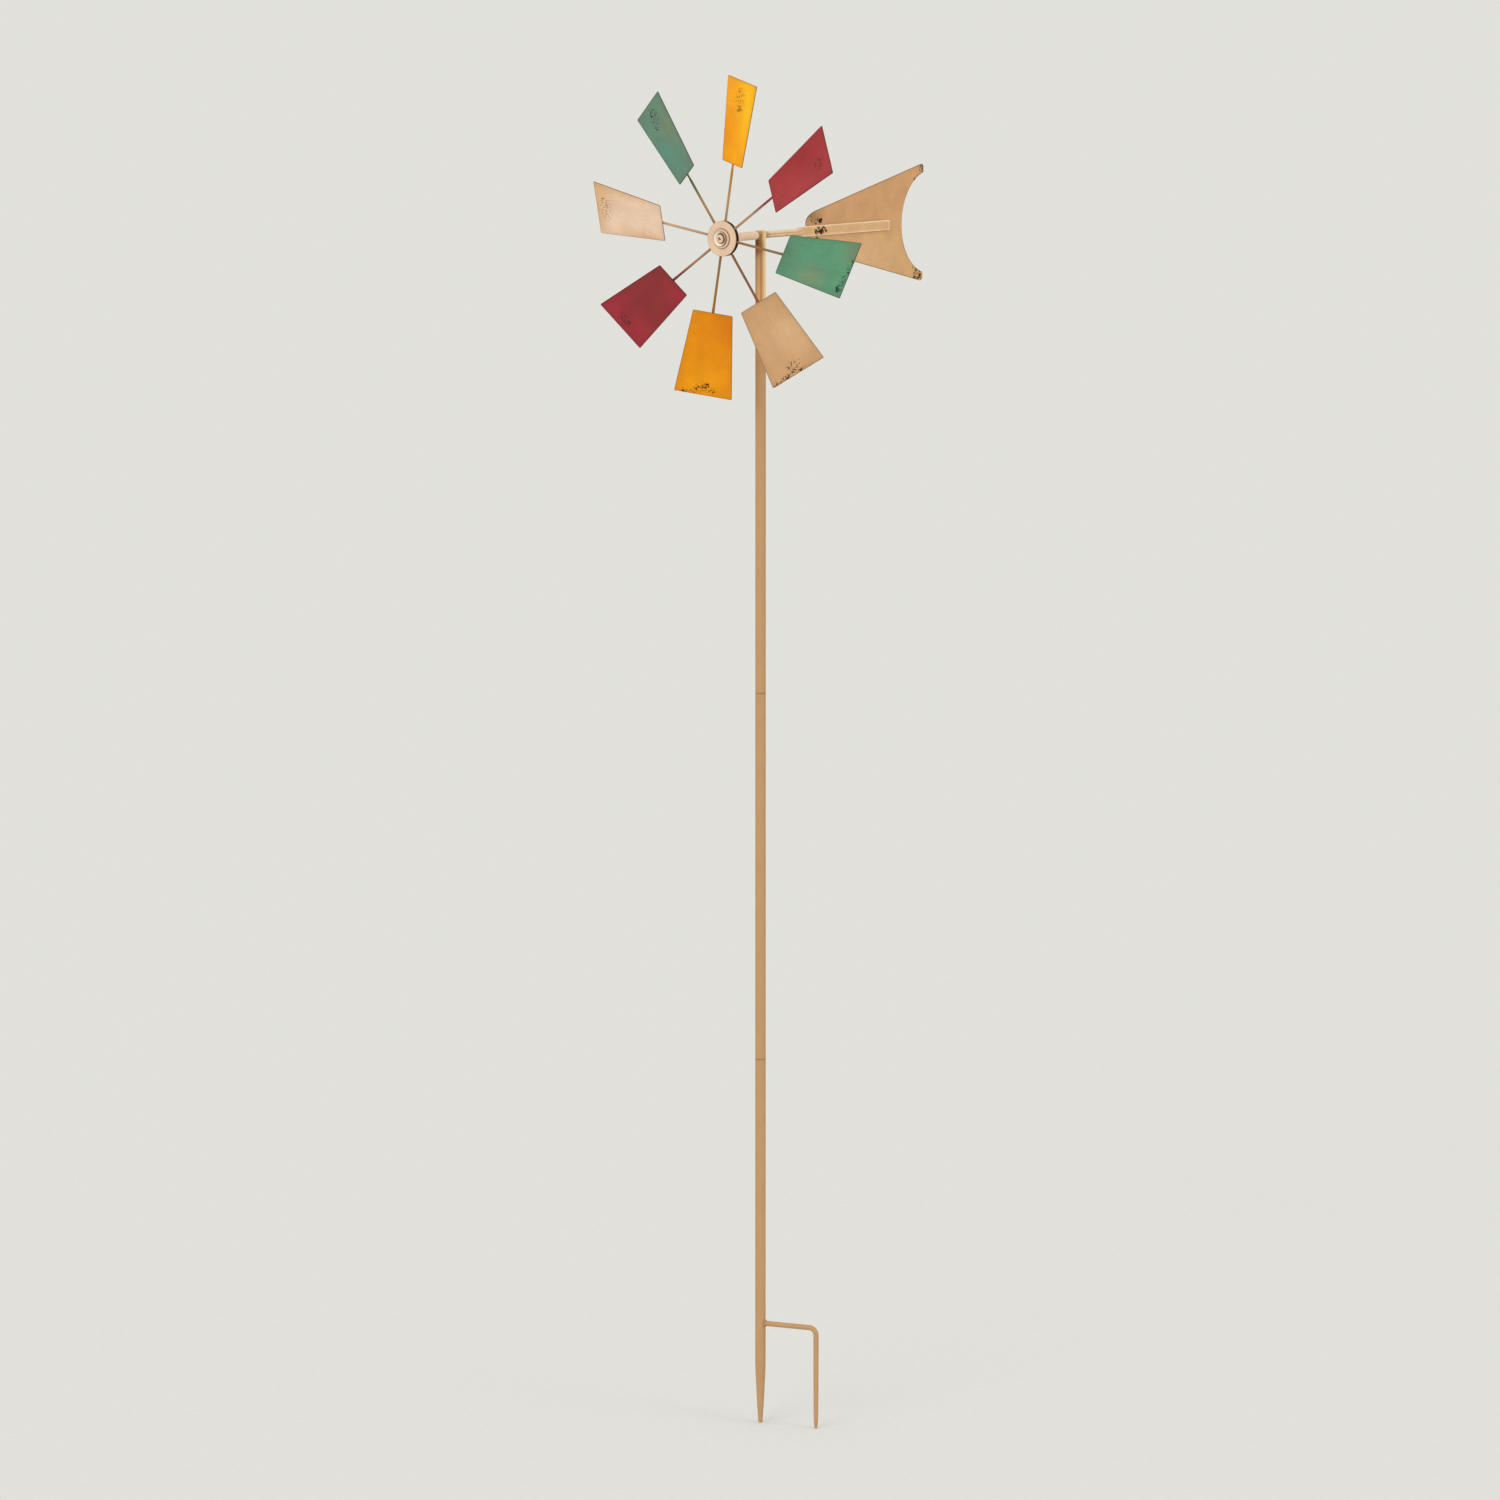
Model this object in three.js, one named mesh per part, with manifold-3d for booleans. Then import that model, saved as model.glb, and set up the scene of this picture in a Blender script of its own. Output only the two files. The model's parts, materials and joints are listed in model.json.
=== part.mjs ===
// Garden windmill: an eight-bladed wind rotor on a tail-steered head, on a three-piece ground stake.
//
// Units are millimetres, +Z is up. The origin is on the stake's axis at ground level.
// The rotor faces -Y, the tail vane points to +Y, and the step bar leaves the stake close to +X.
// The head swivels about the stake (Z axis); the rotor spins about the boom's axis (parallel to Y).

import * as THREE from 'three';
import { mergeVertices } from 'three/addons/utils/BufferGeometryUtils.js';
import Module from 'manifold-3d';

const wasm = await Module();
wasm.setup();

// ---- Driving dimensions ----

const GAP = 0.3; // clearance between pieces that touch or press together

// Stake
const POLE_RADIUS = 7.5;
const POLE_WALL = 1.2;
const STAKE_TIP_Z = -143.4;
const STAKE_TAPER = 85;
const LOWER_SEAM_Z = 387;
const UPPER_SEAM_Z = 915;
const FERRULE_LENGTH = 100;
const FERRULE_WALL = 1.4;

// Step bar with its side prong, one bent rod welded to the stake
const PRONG_RADIUS = 3.75;
const PRONG_REACH = 88;
const PRONG_BEND = 10.5;
const PRONG_TIP_Z = -144.5;
const PRONG_TURN = THREE.MathUtils.degToRad(11.5); // from +X round to the way the step bar points
const BAR_Z = 1.85;

// Swivel
const BOOM_Z = 1566.5;
const SLEEVE_LENGTH = 120;
const SLEEVE_TOP = 6; // how far the sleeve's closed end stands above the boom's axis
const SLEEVE_CAP = 2.4;
const PIN_RADIUS = 4;
const PIN_BORE = 4.4;
const PIN_TOP_DROP = 10; // from the boom's axis down to the pin's top
const WASHER_THICK = 1;
const BUSH_FLANGE = 1.3;
const FLANGE_RADIUS = POLE_RADIUS - 0.2;
const LOWER_BUSH_LENGTH = 16;
const UPPER_BUSH_DROP = 30; // from the boom's axis down to the upper bush's foot
const UPPER_BUSH_LENGTH = 12;

// Boom and tail
const BOOM_RADIUS = 4.75;
const BOOM_WALL = 1;
const BOOM_FRONT_Y = -24;
const BOOM_END_Y = 310;
const CRUSH_START_Y = 78;
const CRUSH_END_Y = 106;
const CRUSH_HALF_WIDTH = 7.3;
const CRUSH_HALF_THICK = 1.6;
const TAIL_DROOP = THREE.MathUtils.degToRad(0.62); // the tail's weight has pulled it down a little
const VANE_THICK = 1;
const VANE_FRONT_Y = 110;
const VANE_FRONT_HALF = 23;
const VANE_TIP_Y = 395;
const VANE_TIP_HALF = 85.5;
const VANE_NOTCH_Y = 344;
const VANE_NOTCH_RADIUS = 76;
const VANE_FRONT_ROUND = 26;
const VANE_FRONT_FLAT = 11;
const VANE_TIP_ROUND = 7;
const VANE_TIP_WIDTH = 13;

// Rotor bearing barrel, at the boom's front end
const BARREL_RADIUS = 6;
const BARREL_BORE = 5.05;
const BARREL_FRONT_Y = -81;
const BARREL_REAR_Y = -11;
const AXLE_RADIUS = 3.5;
const AXLE_BORE = 3.8;
const AXLE_BUSH_LENGTH = 10;

// Rotor: every Y below is measured from the plane that holds the spokes
const ROTOR_Y = -88;
const HUB_RADIUS = 25;
const HUB_CORE_RADIUS = 11;
const HUB_CORE_HALF = 1.9;
const DISC_THICK = 1.5;
const HUB_WASHER_RADIUS = 14;
const HUB_WASHER_THICK = 1;
const SPACER_RADIUS = 6.5;
const SPACER_THICK = 1.2;
const SPOKE_RADIUS = 1.8;
const SPOKE_END = 152;
const SPOKE_FLAT_START = 104;
const SPOKE_CRUSH = 8; // how far before its flat part the spoke starts to be crushed
const SPOKE_HALFWAY = [2.1, 1.15]; // its half sizes in the middle of that
const SPOKE_FLAT_HALF_WIDTH = 2.9;
const SPOKE_FLAT_HALF_THICK = 0.6;
const BLADE_COUNT = 8;
const BLADE_INNER = 106.8;
const BLADE_OUTER = 224.4;
const BLADE_INNER_HALF = 28.7;
const BLADE_OUTER_HALF = 42.3;
const BLADE_CORNER = 2;
const BLADE_THICK = 1;
const BLADE_PITCH = THREE.MathUtils.degToRad(-24.2);
const FIRST_BLADE_ANGLE = THREE.MathUtils.degToRad(9.1);

// Facets round each size of cylinder
const HUB_SIDES = 48;
const LARGE_SIDES = 32;
const SMALL_SIDES = 24;
const ROD_SIDES = 16;
const SPOKE_SIDES = 12;

const CUTTER_REACH = 20; // how far a cutting tool runs past what it cuts

const X_AXIS = new THREE.Vector3(1, 0, 0);
const Y_AXIS = new THREE.Vector3(0, 1, 0);
const Z_AXIS = new THREE.Vector3(0, 0, 1);

// ---- Finishes ----

function paint(color, roughness = 0.62, metalness = 0.1) {
  return new THREE.MeshStandardMaterial({ color, roughness, metalness });
}

const FINISH = {
  poleTan: () => paint(0xbf9669),
  headCream: () => paint(0xd9b78c),
  vaneTan: () => paint(0xc89b66),
  yellow: () => paint(0xf0a212),
  red: () => paint(0xa63f42),
  green: () => paint(0x659378),
  beige: () => paint(0xd8b08a),
  steel: () => paint(0x9a9a98, 0.4, 0.9),
  nylon: () => paint(0x2d2b28, 0.55, 0),
};

// ---- Geometry helpers ----

// A closed geometry as a solid that can be cut or joined.
function solidOf(geometry) {
  const loose = geometry.index ? geometry.toNonIndexed() : geometry;
  const bare = new THREE.BufferGeometry();
  bare.setAttribute('position', loose.getAttribute('position'));
  const merged = mergeVertices(bare, 1e-3);
  return new wasm.Manifold(new wasm.Mesh({
    numProp: 3,
    vertProperties: merged.getAttribute('position').array,
    triVerts: new Uint32Array(merged.index.array),
  }));
}

function geometryOf(solid) {
  const { vertProperties, triVerts } = solid.getMesh();
  const geometry = new THREE.BufferGeometry();
  geometry.setAttribute('position', new THREE.BufferAttribute(vertProperties, 3));
  geometry.setIndex(new THREE.BufferAttribute(triVerts, 1));
  return geometry;
}

function cut(body, ...tools) {
  return geometryOf(tools.reduce((left, tool) => left.subtract(solidOf(tool)), solidOf(body)));
}

// A piece turned about the Y axis from [radius, y] points.
// The outer wall runs towards +Y, and the profile starts and ends on the axis or closes on itself.
function turnedAboutY(profile, sides) {
  return new THREE.LatheGeometry(profile.map(([radius, along]) => new THREE.Vector2(radius, along)), sides);
}

// The same about the Z axis.
function turnedAboutZ(profile, sides) {
  return turnedAboutY(profile, sides).rotateX(Math.PI / 2);
}

// The closed profile of a plain ring or tube, with its outer edges broken by a small bevel.
function ringProfile(bore, radius, from, to, bevel = 0) {
  const corners = bevel
    ? [[radius - bevel, from], [radius, from + bevel], [radius, to - bevel], [radius - bevel, to]]
    : [[radius, from], [radius, to]];
  return [[bore, from], ...corners, [bore, to], [bore, from]];
}

// A rod from a cylinder whose rings are moved to stations.
// Each station has a centre, the direction along the rod, half sizes across it, and a squareness from
// 1 (round) down to 0 (a box). The side vector is square to the rod all the way.
function rodThrough(stations, side, sides) {
  const rod = new THREE.CylinderGeometry(1, 1, 1, sides, stations.length - 1);
  const position = rod.getAttribute('position');
  const point = new THREE.Vector3();
  for (let i = 0; i < position.count; i += 1) {
    point.fromBufferAttribute(position, i);
    const station = stations[Math.round((point.y + 0.5) * (stations.length - 1))];
    const up = side.clone().cross(station.along);
    const across = squared(point.x, station.power) * station.half[0];
    const rise = squared(point.z, station.power) * station.half[1];
    point.copy(station.centre).addScaledVector(side, across).addScaledVector(up, rise);
    position.setXYZ(i, point.x, point.y, point.z);
  }
  return rod;
}

function squared(value, power) {
  const size = Math.abs(value);
  return size < 1e-9 ? 0 : Math.sign(value) * size ** power;
}

function station(centre, along, half, power = 1) {
  return { centre, along, half, power };
}

// A closed outline through corner points, each rounded by its own radius.
function roundedShape(corners) {
  const shape = new THREE.Shape();
  corners.forEach(({ at, radius }, i) => {
    const before = corners[(i + corners.length - 1) % corners.length].at;
    const after = corners[(i + 1) % corners.length].at;
    const start = at.clone().add(before.clone().sub(at).setLength(radius));
    const end = at.clone().add(after.clone().sub(at).setLength(radius));
    if (i === 0) shape.moveTo(start.x, start.y);
    else shape.lineTo(start.x, start.y);
    shape.quadraticCurveTo(at.x, at.y, end.x, end.y);
  });
  shape.closePath();
  return shape;
}

// A plate from an outline. The outline's x and y run along the given axes.
function plate(shape, thickness, xAxis, yAxis, curveSegments) {
  const settings = { depth: thickness, bevelEnabled: false, curveSegments };
  const geometry = new THREE.ExtrudeGeometry(shape, settings);
  return geometry.applyMatrix4(new THREE.Matrix4().makeBasis(xAxis, yAxis, xAxis.clone().cross(yAxis)));
}

function named(name, geometry, material) {
  const mesh = new THREE.Mesh(geometry, material);
  mesh.name = name;
  return mesh;
}

// ---- Stake ----

const POLE_BORE = POLE_RADIUS - POLE_WALL;
const POLE_TOP_Z = BOOM_Z - SLEEVE_LENGTH - BUSH_FLANGE - WASHER_THICK - 3 * GAP;

// The lowest tube is drawn down to a blunt point.
function lowerPole() {
  const taper = [
    [2.5, 0], [3.05, 0.8], [3.3, 4], [3.75, 12], [4.5, 22], [5.2, 33], [5.8, 46], [6.35, 58], [6.95, 70],
    [POLE_RADIUS, STAKE_TAPER],
  ];
  const floor = STAKE_TIP_Z + STAKE_TAPER + POLE_WALL;
  return turnedAboutZ([
    [0, STAKE_TIP_Z],
    ...taper.map(([radius, height]) => [radius, STAKE_TIP_Z + height]),
    [POLE_RADIUS, LOWER_SEAM_Z],
    [POLE_BORE, LOWER_SEAM_Z],
    [POLE_BORE, floor],
    [0, floor],
  ], LARGE_SIDES);
}

function poleTube(from, to) {
  return turnedAboutZ(ringProfile(POLE_BORE, POLE_RADIUS, from, to), LARGE_SIDES);
}

// A short tube inside the stake that joins two sections end to end.
function ferrule(seam) {
  const radius = POLE_BORE - GAP;
  const half = FERRULE_LENGTH / 2;
  const profile = ringProfile(radius - FERRULE_WALL, radius, seam - half, seam + half, 0.5);
  return turnedAboutZ(profile, LARGE_SIDES);
}

// The step bar, its bend and the prong, coped at the bar's end to sit against the stake.
function sideProng() {
  const round = [PRONG_RADIUS, PRONG_RADIUS];
  const stations = [station(new THREE.Vector3(POLE_RADIUS / 2, 0, BAR_Z), X_AXIS, round)];
  const bendSteps = 8;
  for (let i = 0; i <= bendSteps; i += 1) {
    const turn = (i / bendSteps) * (Math.PI / 2);
    const x = PRONG_REACH - PRONG_BEND + PRONG_BEND * Math.sin(turn);
    const z = BAR_Z - PRONG_BEND + PRONG_BEND * Math.cos(turn);
    const along = new THREE.Vector3(Math.cos(turn), 0, -Math.sin(turn));
    stations.push(station(new THREE.Vector3(x, 0, z), along, round));
  }
  // The prong thins a little towards its rounded tip: [radius, height above the tip].
  const nose = [[3.7, 90], [3.55, 55], [3.3, 16], [2.95, 9], [2.6, 5], [2.1, 2.3], [1.2, 0]];
  nose.forEach(([radius, height]) => {
    const centre = new THREE.Vector3(PRONG_REACH, 0, PRONG_TIP_Z + height);
    stations.push(station(centre, Z_AXIS.clone().negate(), [radius, radius]));
  });
  const cope = POLE_RADIUS + GAP;
  const stakeClearance = turnedAboutZ(
    [[0, -CUTTER_REACH], [cope, -CUTTER_REACH], [cope, CUTTER_REACH], [0, CUTTER_REACH]], LARGE_SIDES);
  return cut(rodThrough(stations, Y_AXIS, ROD_SIDES), stakeClearance).rotateZ(PRONG_TURN);
}

// ---- Swivel ----

const SLEEVE_FOOT_Z = BOOM_Z - SLEEVE_LENGTH;
const BUSH_RADIUS = POLE_BORE - GAP;
const SOCKET_LENGTH = 40;
const PIN_TOP_Z = BOOM_Z - PIN_TOP_DROP;
const PIN_FOOT_Z = POLE_TOP_Z - SOCKET_LENGTH;

function pinSocket() {
  return turnedAboutZ(ringProfile(PIN_RADIUS + GAP, BUSH_RADIUS, PIN_FOOT_Z, POLE_TOP_Z), SMALL_SIDES);
}

function swivelPin() {
  const bevel = 1;
  return turnedAboutZ([
    [0, PIN_FOOT_Z],
    [PIN_RADIUS, PIN_FOOT_Z],
    [PIN_RADIUS, PIN_TOP_Z - bevel],
    [PIN_RADIUS - bevel, PIN_TOP_Z],
    [0, PIN_TOP_Z],
  ], SMALL_SIDES);
}

function thrustWasher() {
  const from = POLE_TOP_Z + GAP;
  return turnedAboutZ(ringProfile(PIN_BORE, FLANGE_RADIUS, from, from + WASHER_THICK, 0.2), LARGE_SIDES);
}

// The flanged bush in the sleeve's foot carries the head's weight on the thrust washer.
function lowerSwivelBush() {
  const bottom = SLEEVE_FOOT_Z - GAP - BUSH_FLANGE;
  const shoulder = SLEEVE_FOOT_Z - GAP;
  const top = SLEEVE_FOOT_Z + LOWER_BUSH_LENGTH;
  return turnedAboutZ([
    [PIN_BORE, bottom],
    [FLANGE_RADIUS, bottom],
    [FLANGE_RADIUS, shoulder],
    [BUSH_RADIUS, shoulder],
    [BUSH_RADIUS, top],
    [PIN_BORE, top],
    [PIN_BORE, bottom],
  ], LARGE_SIDES);
}

function upperSwivelBush() {
  const foot = BOOM_Z - UPPER_BUSH_DROP;
  return turnedAboutZ(ringProfile(PIN_BORE, BUSH_RADIUS, foot, foot + UPPER_BUSH_LENGTH), LARGE_SIDES);
}

// The upright sleeve is closed at its head, and the boom passes through it just under the closed end.
function swivelSleeve() {
  const top = BOOM_Z + SLEEVE_TOP;
  const shoulder = 1.2;
  const ceiling = top - SLEEVE_CAP;
  const blank = turnedAboutZ([
    [0, ceiling],
    [POLE_BORE, ceiling],
    [POLE_BORE, SLEEVE_FOOT_Z],
    [POLE_RADIUS, SLEEVE_FOOT_Z],
    [POLE_RADIUS, top - shoulder],
    [POLE_RADIUS - shoulder, top],
    [0, top],
  ], LARGE_SIDES);
  const crossHole = turnedAboutY(
    [[0, -CUTTER_REACH], [BARREL_BORE, -CUTTER_REACH], [BARREL_BORE, CUTTER_REACH], [0, CUTTER_REACH]],
    SMALL_SIDES).translate(0, 0, BOOM_Z);
  return cut(blank, crossHole);
}

// ---- Boom, barrel and tail: pieces placed about the boom's axis, at height BOOM_Z ----

function bearingBarrel() {
  return turnedAboutY(
    ringProfile(BARREL_BORE, BARREL_RADIUS, BARREL_FRONT_Y, BARREL_REAR_Y, 0.4), LARGE_SIDES);
}

// A round tube whose rear end is crushed flat to lie against the vane.
function boomTube() {
  const round = [BOOM_RADIUS, BOOM_RADIUS];
  const flat = [CRUSH_HALF_THICK, CRUSH_HALF_WIDTH];
  const flatPower = 0.4;
  const stations = [station(new THREE.Vector3(0, BOOM_FRONT_Y, 0), Y_AXIS, round)];
  const steps = 8;
  for (let i = 0; i <= steps; i += 1) {
    const share = THREE.MathUtils.smoothstep(i / steps, 0, 1);
    const y = THREE.MathUtils.lerp(CRUSH_START_Y, CRUSH_END_Y, i / steps);
    const half = [0, 1].map((k) => THREE.MathUtils.lerp(round[k], flat[k], share));
    const power = THREE.MathUtils.lerp(1, flatPower, share);
    stations.push(station(new THREE.Vector3(0, y, 0), Y_AXIS, half, power));
  }
  stations.push(station(new THREE.Vector3(0, BOOM_END_Y, 0), Y_AXIS, flat, flatPower));
  const inside = BOOM_RADIUS - BOOM_WALL;
  const bore = turnedAboutY(
    [[0, BOOM_FRONT_Y - 5], [inside, BOOM_FRONT_Y - 5], [inside, CRUSH_START_Y], [0, CRUSH_START_Y + 4]],
    SMALL_SIDES);
  return cut(rodThrough(stations, X_AXIS, SMALL_SIDES), bore);
}

// The fish-tail plate: a narrow rounded front, straight spreading edges and a round notch at the back.
function tailVane() {
  const shape = new THREE.Shape();
  const notchCentre = VANE_NOTCH_Y + VANE_NOTCH_RADIUS;
  const edgeSlope = (VANE_TIP_HALF - VANE_FRONT_HALF) / (VANE_TIP_Y - VANE_FRONT_Y);
  const edgeHalf = (y) => VANE_FRONT_HALF + (y - VANE_FRONT_Y) * edgeSlope;
  const frontY = VANE_FRONT_Y + VANE_FRONT_ROUND;
  const cornerY = VANE_TIP_Y - VANE_TIP_ROUND;
  const notchHalf = VANE_TIP_HALF - VANE_TIP_WIDTH;
  const notchEnd = Math.asin(notchHalf / VANE_NOTCH_RADIUS);
  const notchEndY = notchCentre - VANE_NOTCH_RADIUS * Math.cos(notchEnd);
  shape.moveTo(VANE_FRONT_Y, -VANE_FRONT_FLAT);
  shape.quadraticCurveTo(VANE_FRONT_Y, -edgeHalf(VANE_FRONT_Y), frontY, -edgeHalf(frontY));
  shape.lineTo(cornerY, -edgeHalf(cornerY));
  shape.quadraticCurveTo(VANE_TIP_Y, -VANE_TIP_HALF, VANE_TIP_Y + 1, -VANE_TIP_HALF + VANE_TIP_ROUND - 1);
  shape.quadraticCurveTo(VANE_TIP_Y + 1, -notchHalf - 3, notchEndY, -notchHalf);
  shape.absarc(notchCentre, 0, VANE_NOTCH_RADIUS, Math.PI + notchEnd, Math.PI - notchEnd, true);
  shape.quadraticCurveTo(VANE_TIP_Y + 1, notchHalf + 3, VANE_TIP_Y + 1, VANE_TIP_HALF - VANE_TIP_ROUND + 1);
  shape.quadraticCurveTo(VANE_TIP_Y, VANE_TIP_HALF, cornerY, edgeHalf(cornerY));
  shape.lineTo(frontY, edgeHalf(frontY));
  shape.quadraticCurveTo(VANE_FRONT_Y, edgeHalf(VANE_FRONT_Y), VANE_FRONT_Y, VANE_FRONT_FLAT);
  shape.closePath();
  return plate(shape, VANE_THICK, Y_AXIS, Z_AXIS, 10)
    .translate(-CRUSH_HALF_THICK - GAP - VANE_THICK, 0, 0);
}

// ---- Rotor: Y is measured from the spoke plane ----

const DISC_NEAR = HUB_CORE_HALF + GAP; // spoke plane to the inner face of either hub disc
const DISC_FAR = DISC_NEAR + DISC_THICK;
const CUP_BACK = -DISC_FAR - HUB_WASHER_THICK - 2 * GAP;
const CUP_THICK = 1;
const CUP_FLOOR = CUP_BACK - CUP_THICK;
const CUP_RADIUS = 10.2;
const CUP_BACK_RADIUS = 8.6;
const CUP_FLOOR_RADIUS = 7;
const CUP_LIP = 0.5; // width of the rim's flat front
const CUP_WALL_RISE = 2.3; // how far the dished wall stands in front of the cup's floor
const SCREW_HOLE = 2.8;
const SCREW_HOLE_END = 14;
const SCREW_END = 12;
const SCREW_RADIUS = 2.5;
const SCREW_HEAD_RADIUS = 6.3;
const SCREW_HEAD_HIGH = 3;
const SCREW_HEAD_EDGE = 1; // height of the head's straight edge, below its crown
const RECESS_LONG = 6;
const RECESS_WIDE = 1.2;
const RECESS_DEEP = 1.5;
const AXLE_END = 62;
const CLIP_FROM = 57.3;
const CLIP_TO = 58.5;
const CLIP_INNER = 3.2;
const CLIP_OUTER = 4.6;
const BARREL_FRONT_FROM_ROTOR = BARREL_FRONT_Y - ROTOR_Y;

function hubDisc(from, to) {
  return turnedAboutY(ringProfile(AXLE_BORE, HUB_RADIUS, from, to, 0.4), HUB_SIDES);
}

function hubCore() {
  return turnedAboutY(ringProfile(AXLE_BORE, HUB_CORE_RADIUS, -HUB_CORE_HALF, HUB_CORE_HALF), LARGE_SIDES);
}

function hubWasher() {
  const profile = ringProfile(SCREW_HOLE, HUB_WASHER_RADIUS, CUP_BACK + GAP, -DISC_FAR - GAP, 0.3);
  return turnedAboutY(profile, LARGE_SIDES);
}

// A cup washer: its raised rim stands forward round the screw head.
function cupWasher() {
  const bevel = 0.2;
  const rim = CUP_FLOOR - CUP_WALL_RISE;
  return turnedAboutY([
    [SCREW_HOLE, CUP_FLOOR],
    [CUP_FLOOR_RADIUS, CUP_FLOOR],
    [CUP_RADIUS - bevel - CUP_LIP, rim],
    [CUP_RADIUS - bevel, rim],
    [CUP_RADIUS, rim + CUP_LIP],
    [CUP_BACK_RADIUS, CUP_BACK],
    [SCREW_HOLE, CUP_BACK],
    [SCREW_HOLE, CUP_FLOOR],
  ], LARGE_SIDES);
}

// A pan-head screw with a cross recess, turned into the axle's end.
function axleScrew() {
  const seat = CUP_FLOOR - GAP;
  const blank = turnedAboutY([
    [0, seat - SCREW_HEAD_HIGH],
    [3.2, seat - SCREW_HEAD_HIGH + 0.25],
    [5.4, seat - SCREW_HEAD_HIGH + 1],
    [SCREW_HEAD_RADIUS, seat - SCREW_HEAD_EDGE],
    [SCREW_HEAD_RADIUS, seat],
    [SCREW_RADIUS, seat],
    [SCREW_RADIUS, SCREW_END],
    [0, SCREW_END],
  ], SMALL_SIDES);
  const slot = (width, height) => new THREE.BoxGeometry(width, 2 * RECESS_DEEP, height)
    .translate(0, seat - SCREW_HEAD_HIGH, 0);
  return cut(blank, slot(RECESS_LONG, RECESS_WIDE), slot(RECESS_WIDE, RECESS_LONG));
}

// The axle turns with the hub. The screw goes into its front end, and its clip sits in a groove.
function rotorAxle() {
  const bevel = 0.5;
  return turnedAboutY([
    [0, SCREW_HOLE_END],
    [SCREW_HOLE, SCREW_HOLE_END],
    [SCREW_HOLE, -DISC_FAR],
    [AXLE_RADIUS, -DISC_FAR],
    [AXLE_RADIUS, CLIP_FROM - GAP],
    [CLIP_INNER - GAP, CLIP_FROM - GAP],
    [CLIP_INNER - GAP, CLIP_TO + GAP],
    [AXLE_RADIUS, CLIP_TO + GAP],
    [AXLE_RADIUS, AXLE_END - bevel],
    [AXLE_RADIUS - bevel, AXLE_END],
    [0, AXLE_END],
  ], SMALL_SIDES);
}

// A snap ring, open on one side, that keeps the axle in the barrel.
function axleClip() {
  const shape = new THREE.Shape();
  const mouth = THREE.MathUtils.degToRad(35);
  shape.absarc(0, 0, CLIP_OUTER, mouth, 2 * Math.PI - mouth, false);
  shape.absarc(0, 0, CLIP_INNER, 2 * Math.PI - mouth, mouth, true);
  shape.closePath();
  return plate(shape, CLIP_TO - CLIP_FROM, X_AXIS, Z_AXIS, SMALL_SIDES).translate(0, CLIP_TO, 0);
}

function spacerWasher() {
  const from = DISC_FAR + GAP;
  return turnedAboutY(ringProfile(AXLE_BORE, SPACER_RADIUS, from, from + SPACER_THICK, 0.2), SMALL_SIDES);
}

// The front bush has a flange against the barrel's mouth; the rear bush is plain. Both stay in the barrel.
function frontAxleBush() {
  const flange = BARREL_FRONT_FROM_ROTOR - GAP;
  const radius = BARREL_BORE - GAP;
  return turnedAboutY([
    [AXLE_BORE, flange - BUSH_FLANGE],
    [BARREL_RADIUS, flange - BUSH_FLANGE],
    [BARREL_RADIUS, flange],
    [radius, flange],
    [radius, flange + AXLE_BUSH_LENGTH],
    [AXLE_BORE, flange + AXLE_BUSH_LENGTH],
    [AXLE_BORE, flange - BUSH_FLANGE],
  ], SMALL_SIDES);
}

function rearAxleBush() {
  const to = CLIP_FROM - GAP;
  return turnedAboutY(ringProfile(AXLE_BORE, BARREL_BORE - GAP, to - AXLE_BUSH_LENGTH, to), SMALL_SIDES);
}

// A round rod welded to the hub core, with its outer end crushed flat behind the blade.
function spoke() {
  const round = [SPOKE_RADIUS, SPOKE_RADIUS];
  const flat = [SPOKE_FLAT_HALF_WIDTH, SPOKE_FLAT_HALF_THICK];
  const halfwayPower = 0.85;
  const flatPower = 0.6;
  const at = (z, half, power) => station(new THREE.Vector3(0, 0, z), Z_AXIS, half, power);
  return rodThrough([
    at(HUB_CORE_RADIUS + GAP, round, 1),
    at(SPOKE_FLAT_START - SPOKE_CRUSH, round, 1),
    at(SPOKE_FLAT_START - SPOKE_CRUSH / 2, SPOKE_HALFWAY, halfwayPower),
    at(SPOKE_FLAT_START, flat, flatPower),
    at(SPOKE_END, flat, flatPower),
  ], X_AXIS, SPOKE_SIDES);
}

// A flat trapezoid blade with its plane in front of the crushed spoke end.
function blade() {
  const corner = (x, z) => ({ at: new THREE.Vector2(x, z), radius: BLADE_CORNER });
  const shape = roundedShape([
    corner(-BLADE_INNER_HALF, BLADE_INNER),
    corner(BLADE_INNER_HALF, BLADE_INNER),
    corner(BLADE_OUTER_HALF, BLADE_OUTER),
    corner(-BLADE_OUTER_HALF, BLADE_OUTER),
  ]);
  return plate(shape, BLADE_THICK, X_AXIS, Z_AXIS, 4).translate(0, -SPOKE_FLAT_HALF_THICK - GAP, 0);
}

// ---- Assembly ----

const stake = new THREE.Group();
stake.add(
  named('lower_pole', lowerPole(), FINISH.poleTan()),
  named('middle_pole', poleTube(LOWER_SEAM_Z + GAP, UPPER_SEAM_Z), FINISH.poleTan()),
  named('upper_pole', poleTube(UPPER_SEAM_Z + GAP, POLE_TOP_Z), FINISH.poleTan()),
  named('lower_ferrule', ferrule(LOWER_SEAM_Z), FINISH.steel()),
  named('upper_ferrule', ferrule(UPPER_SEAM_Z), FINISH.steel()),
  named('side_prong', sideProng(), FINISH.poleTan()),
  named('pin_socket', pinSocket(), FINISH.steel()),
  named('swivel_pin', swivelPin(), FINISH.steel()),
  named('thrust_washer', thrustWasher(), FINISH.steel()),
);

const boomLine = new THREE.Group();
boomLine.position.z = BOOM_Z;
boomLine.add(named('bearing_barrel', bearingBarrel(), FINISH.headCream()));

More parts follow.
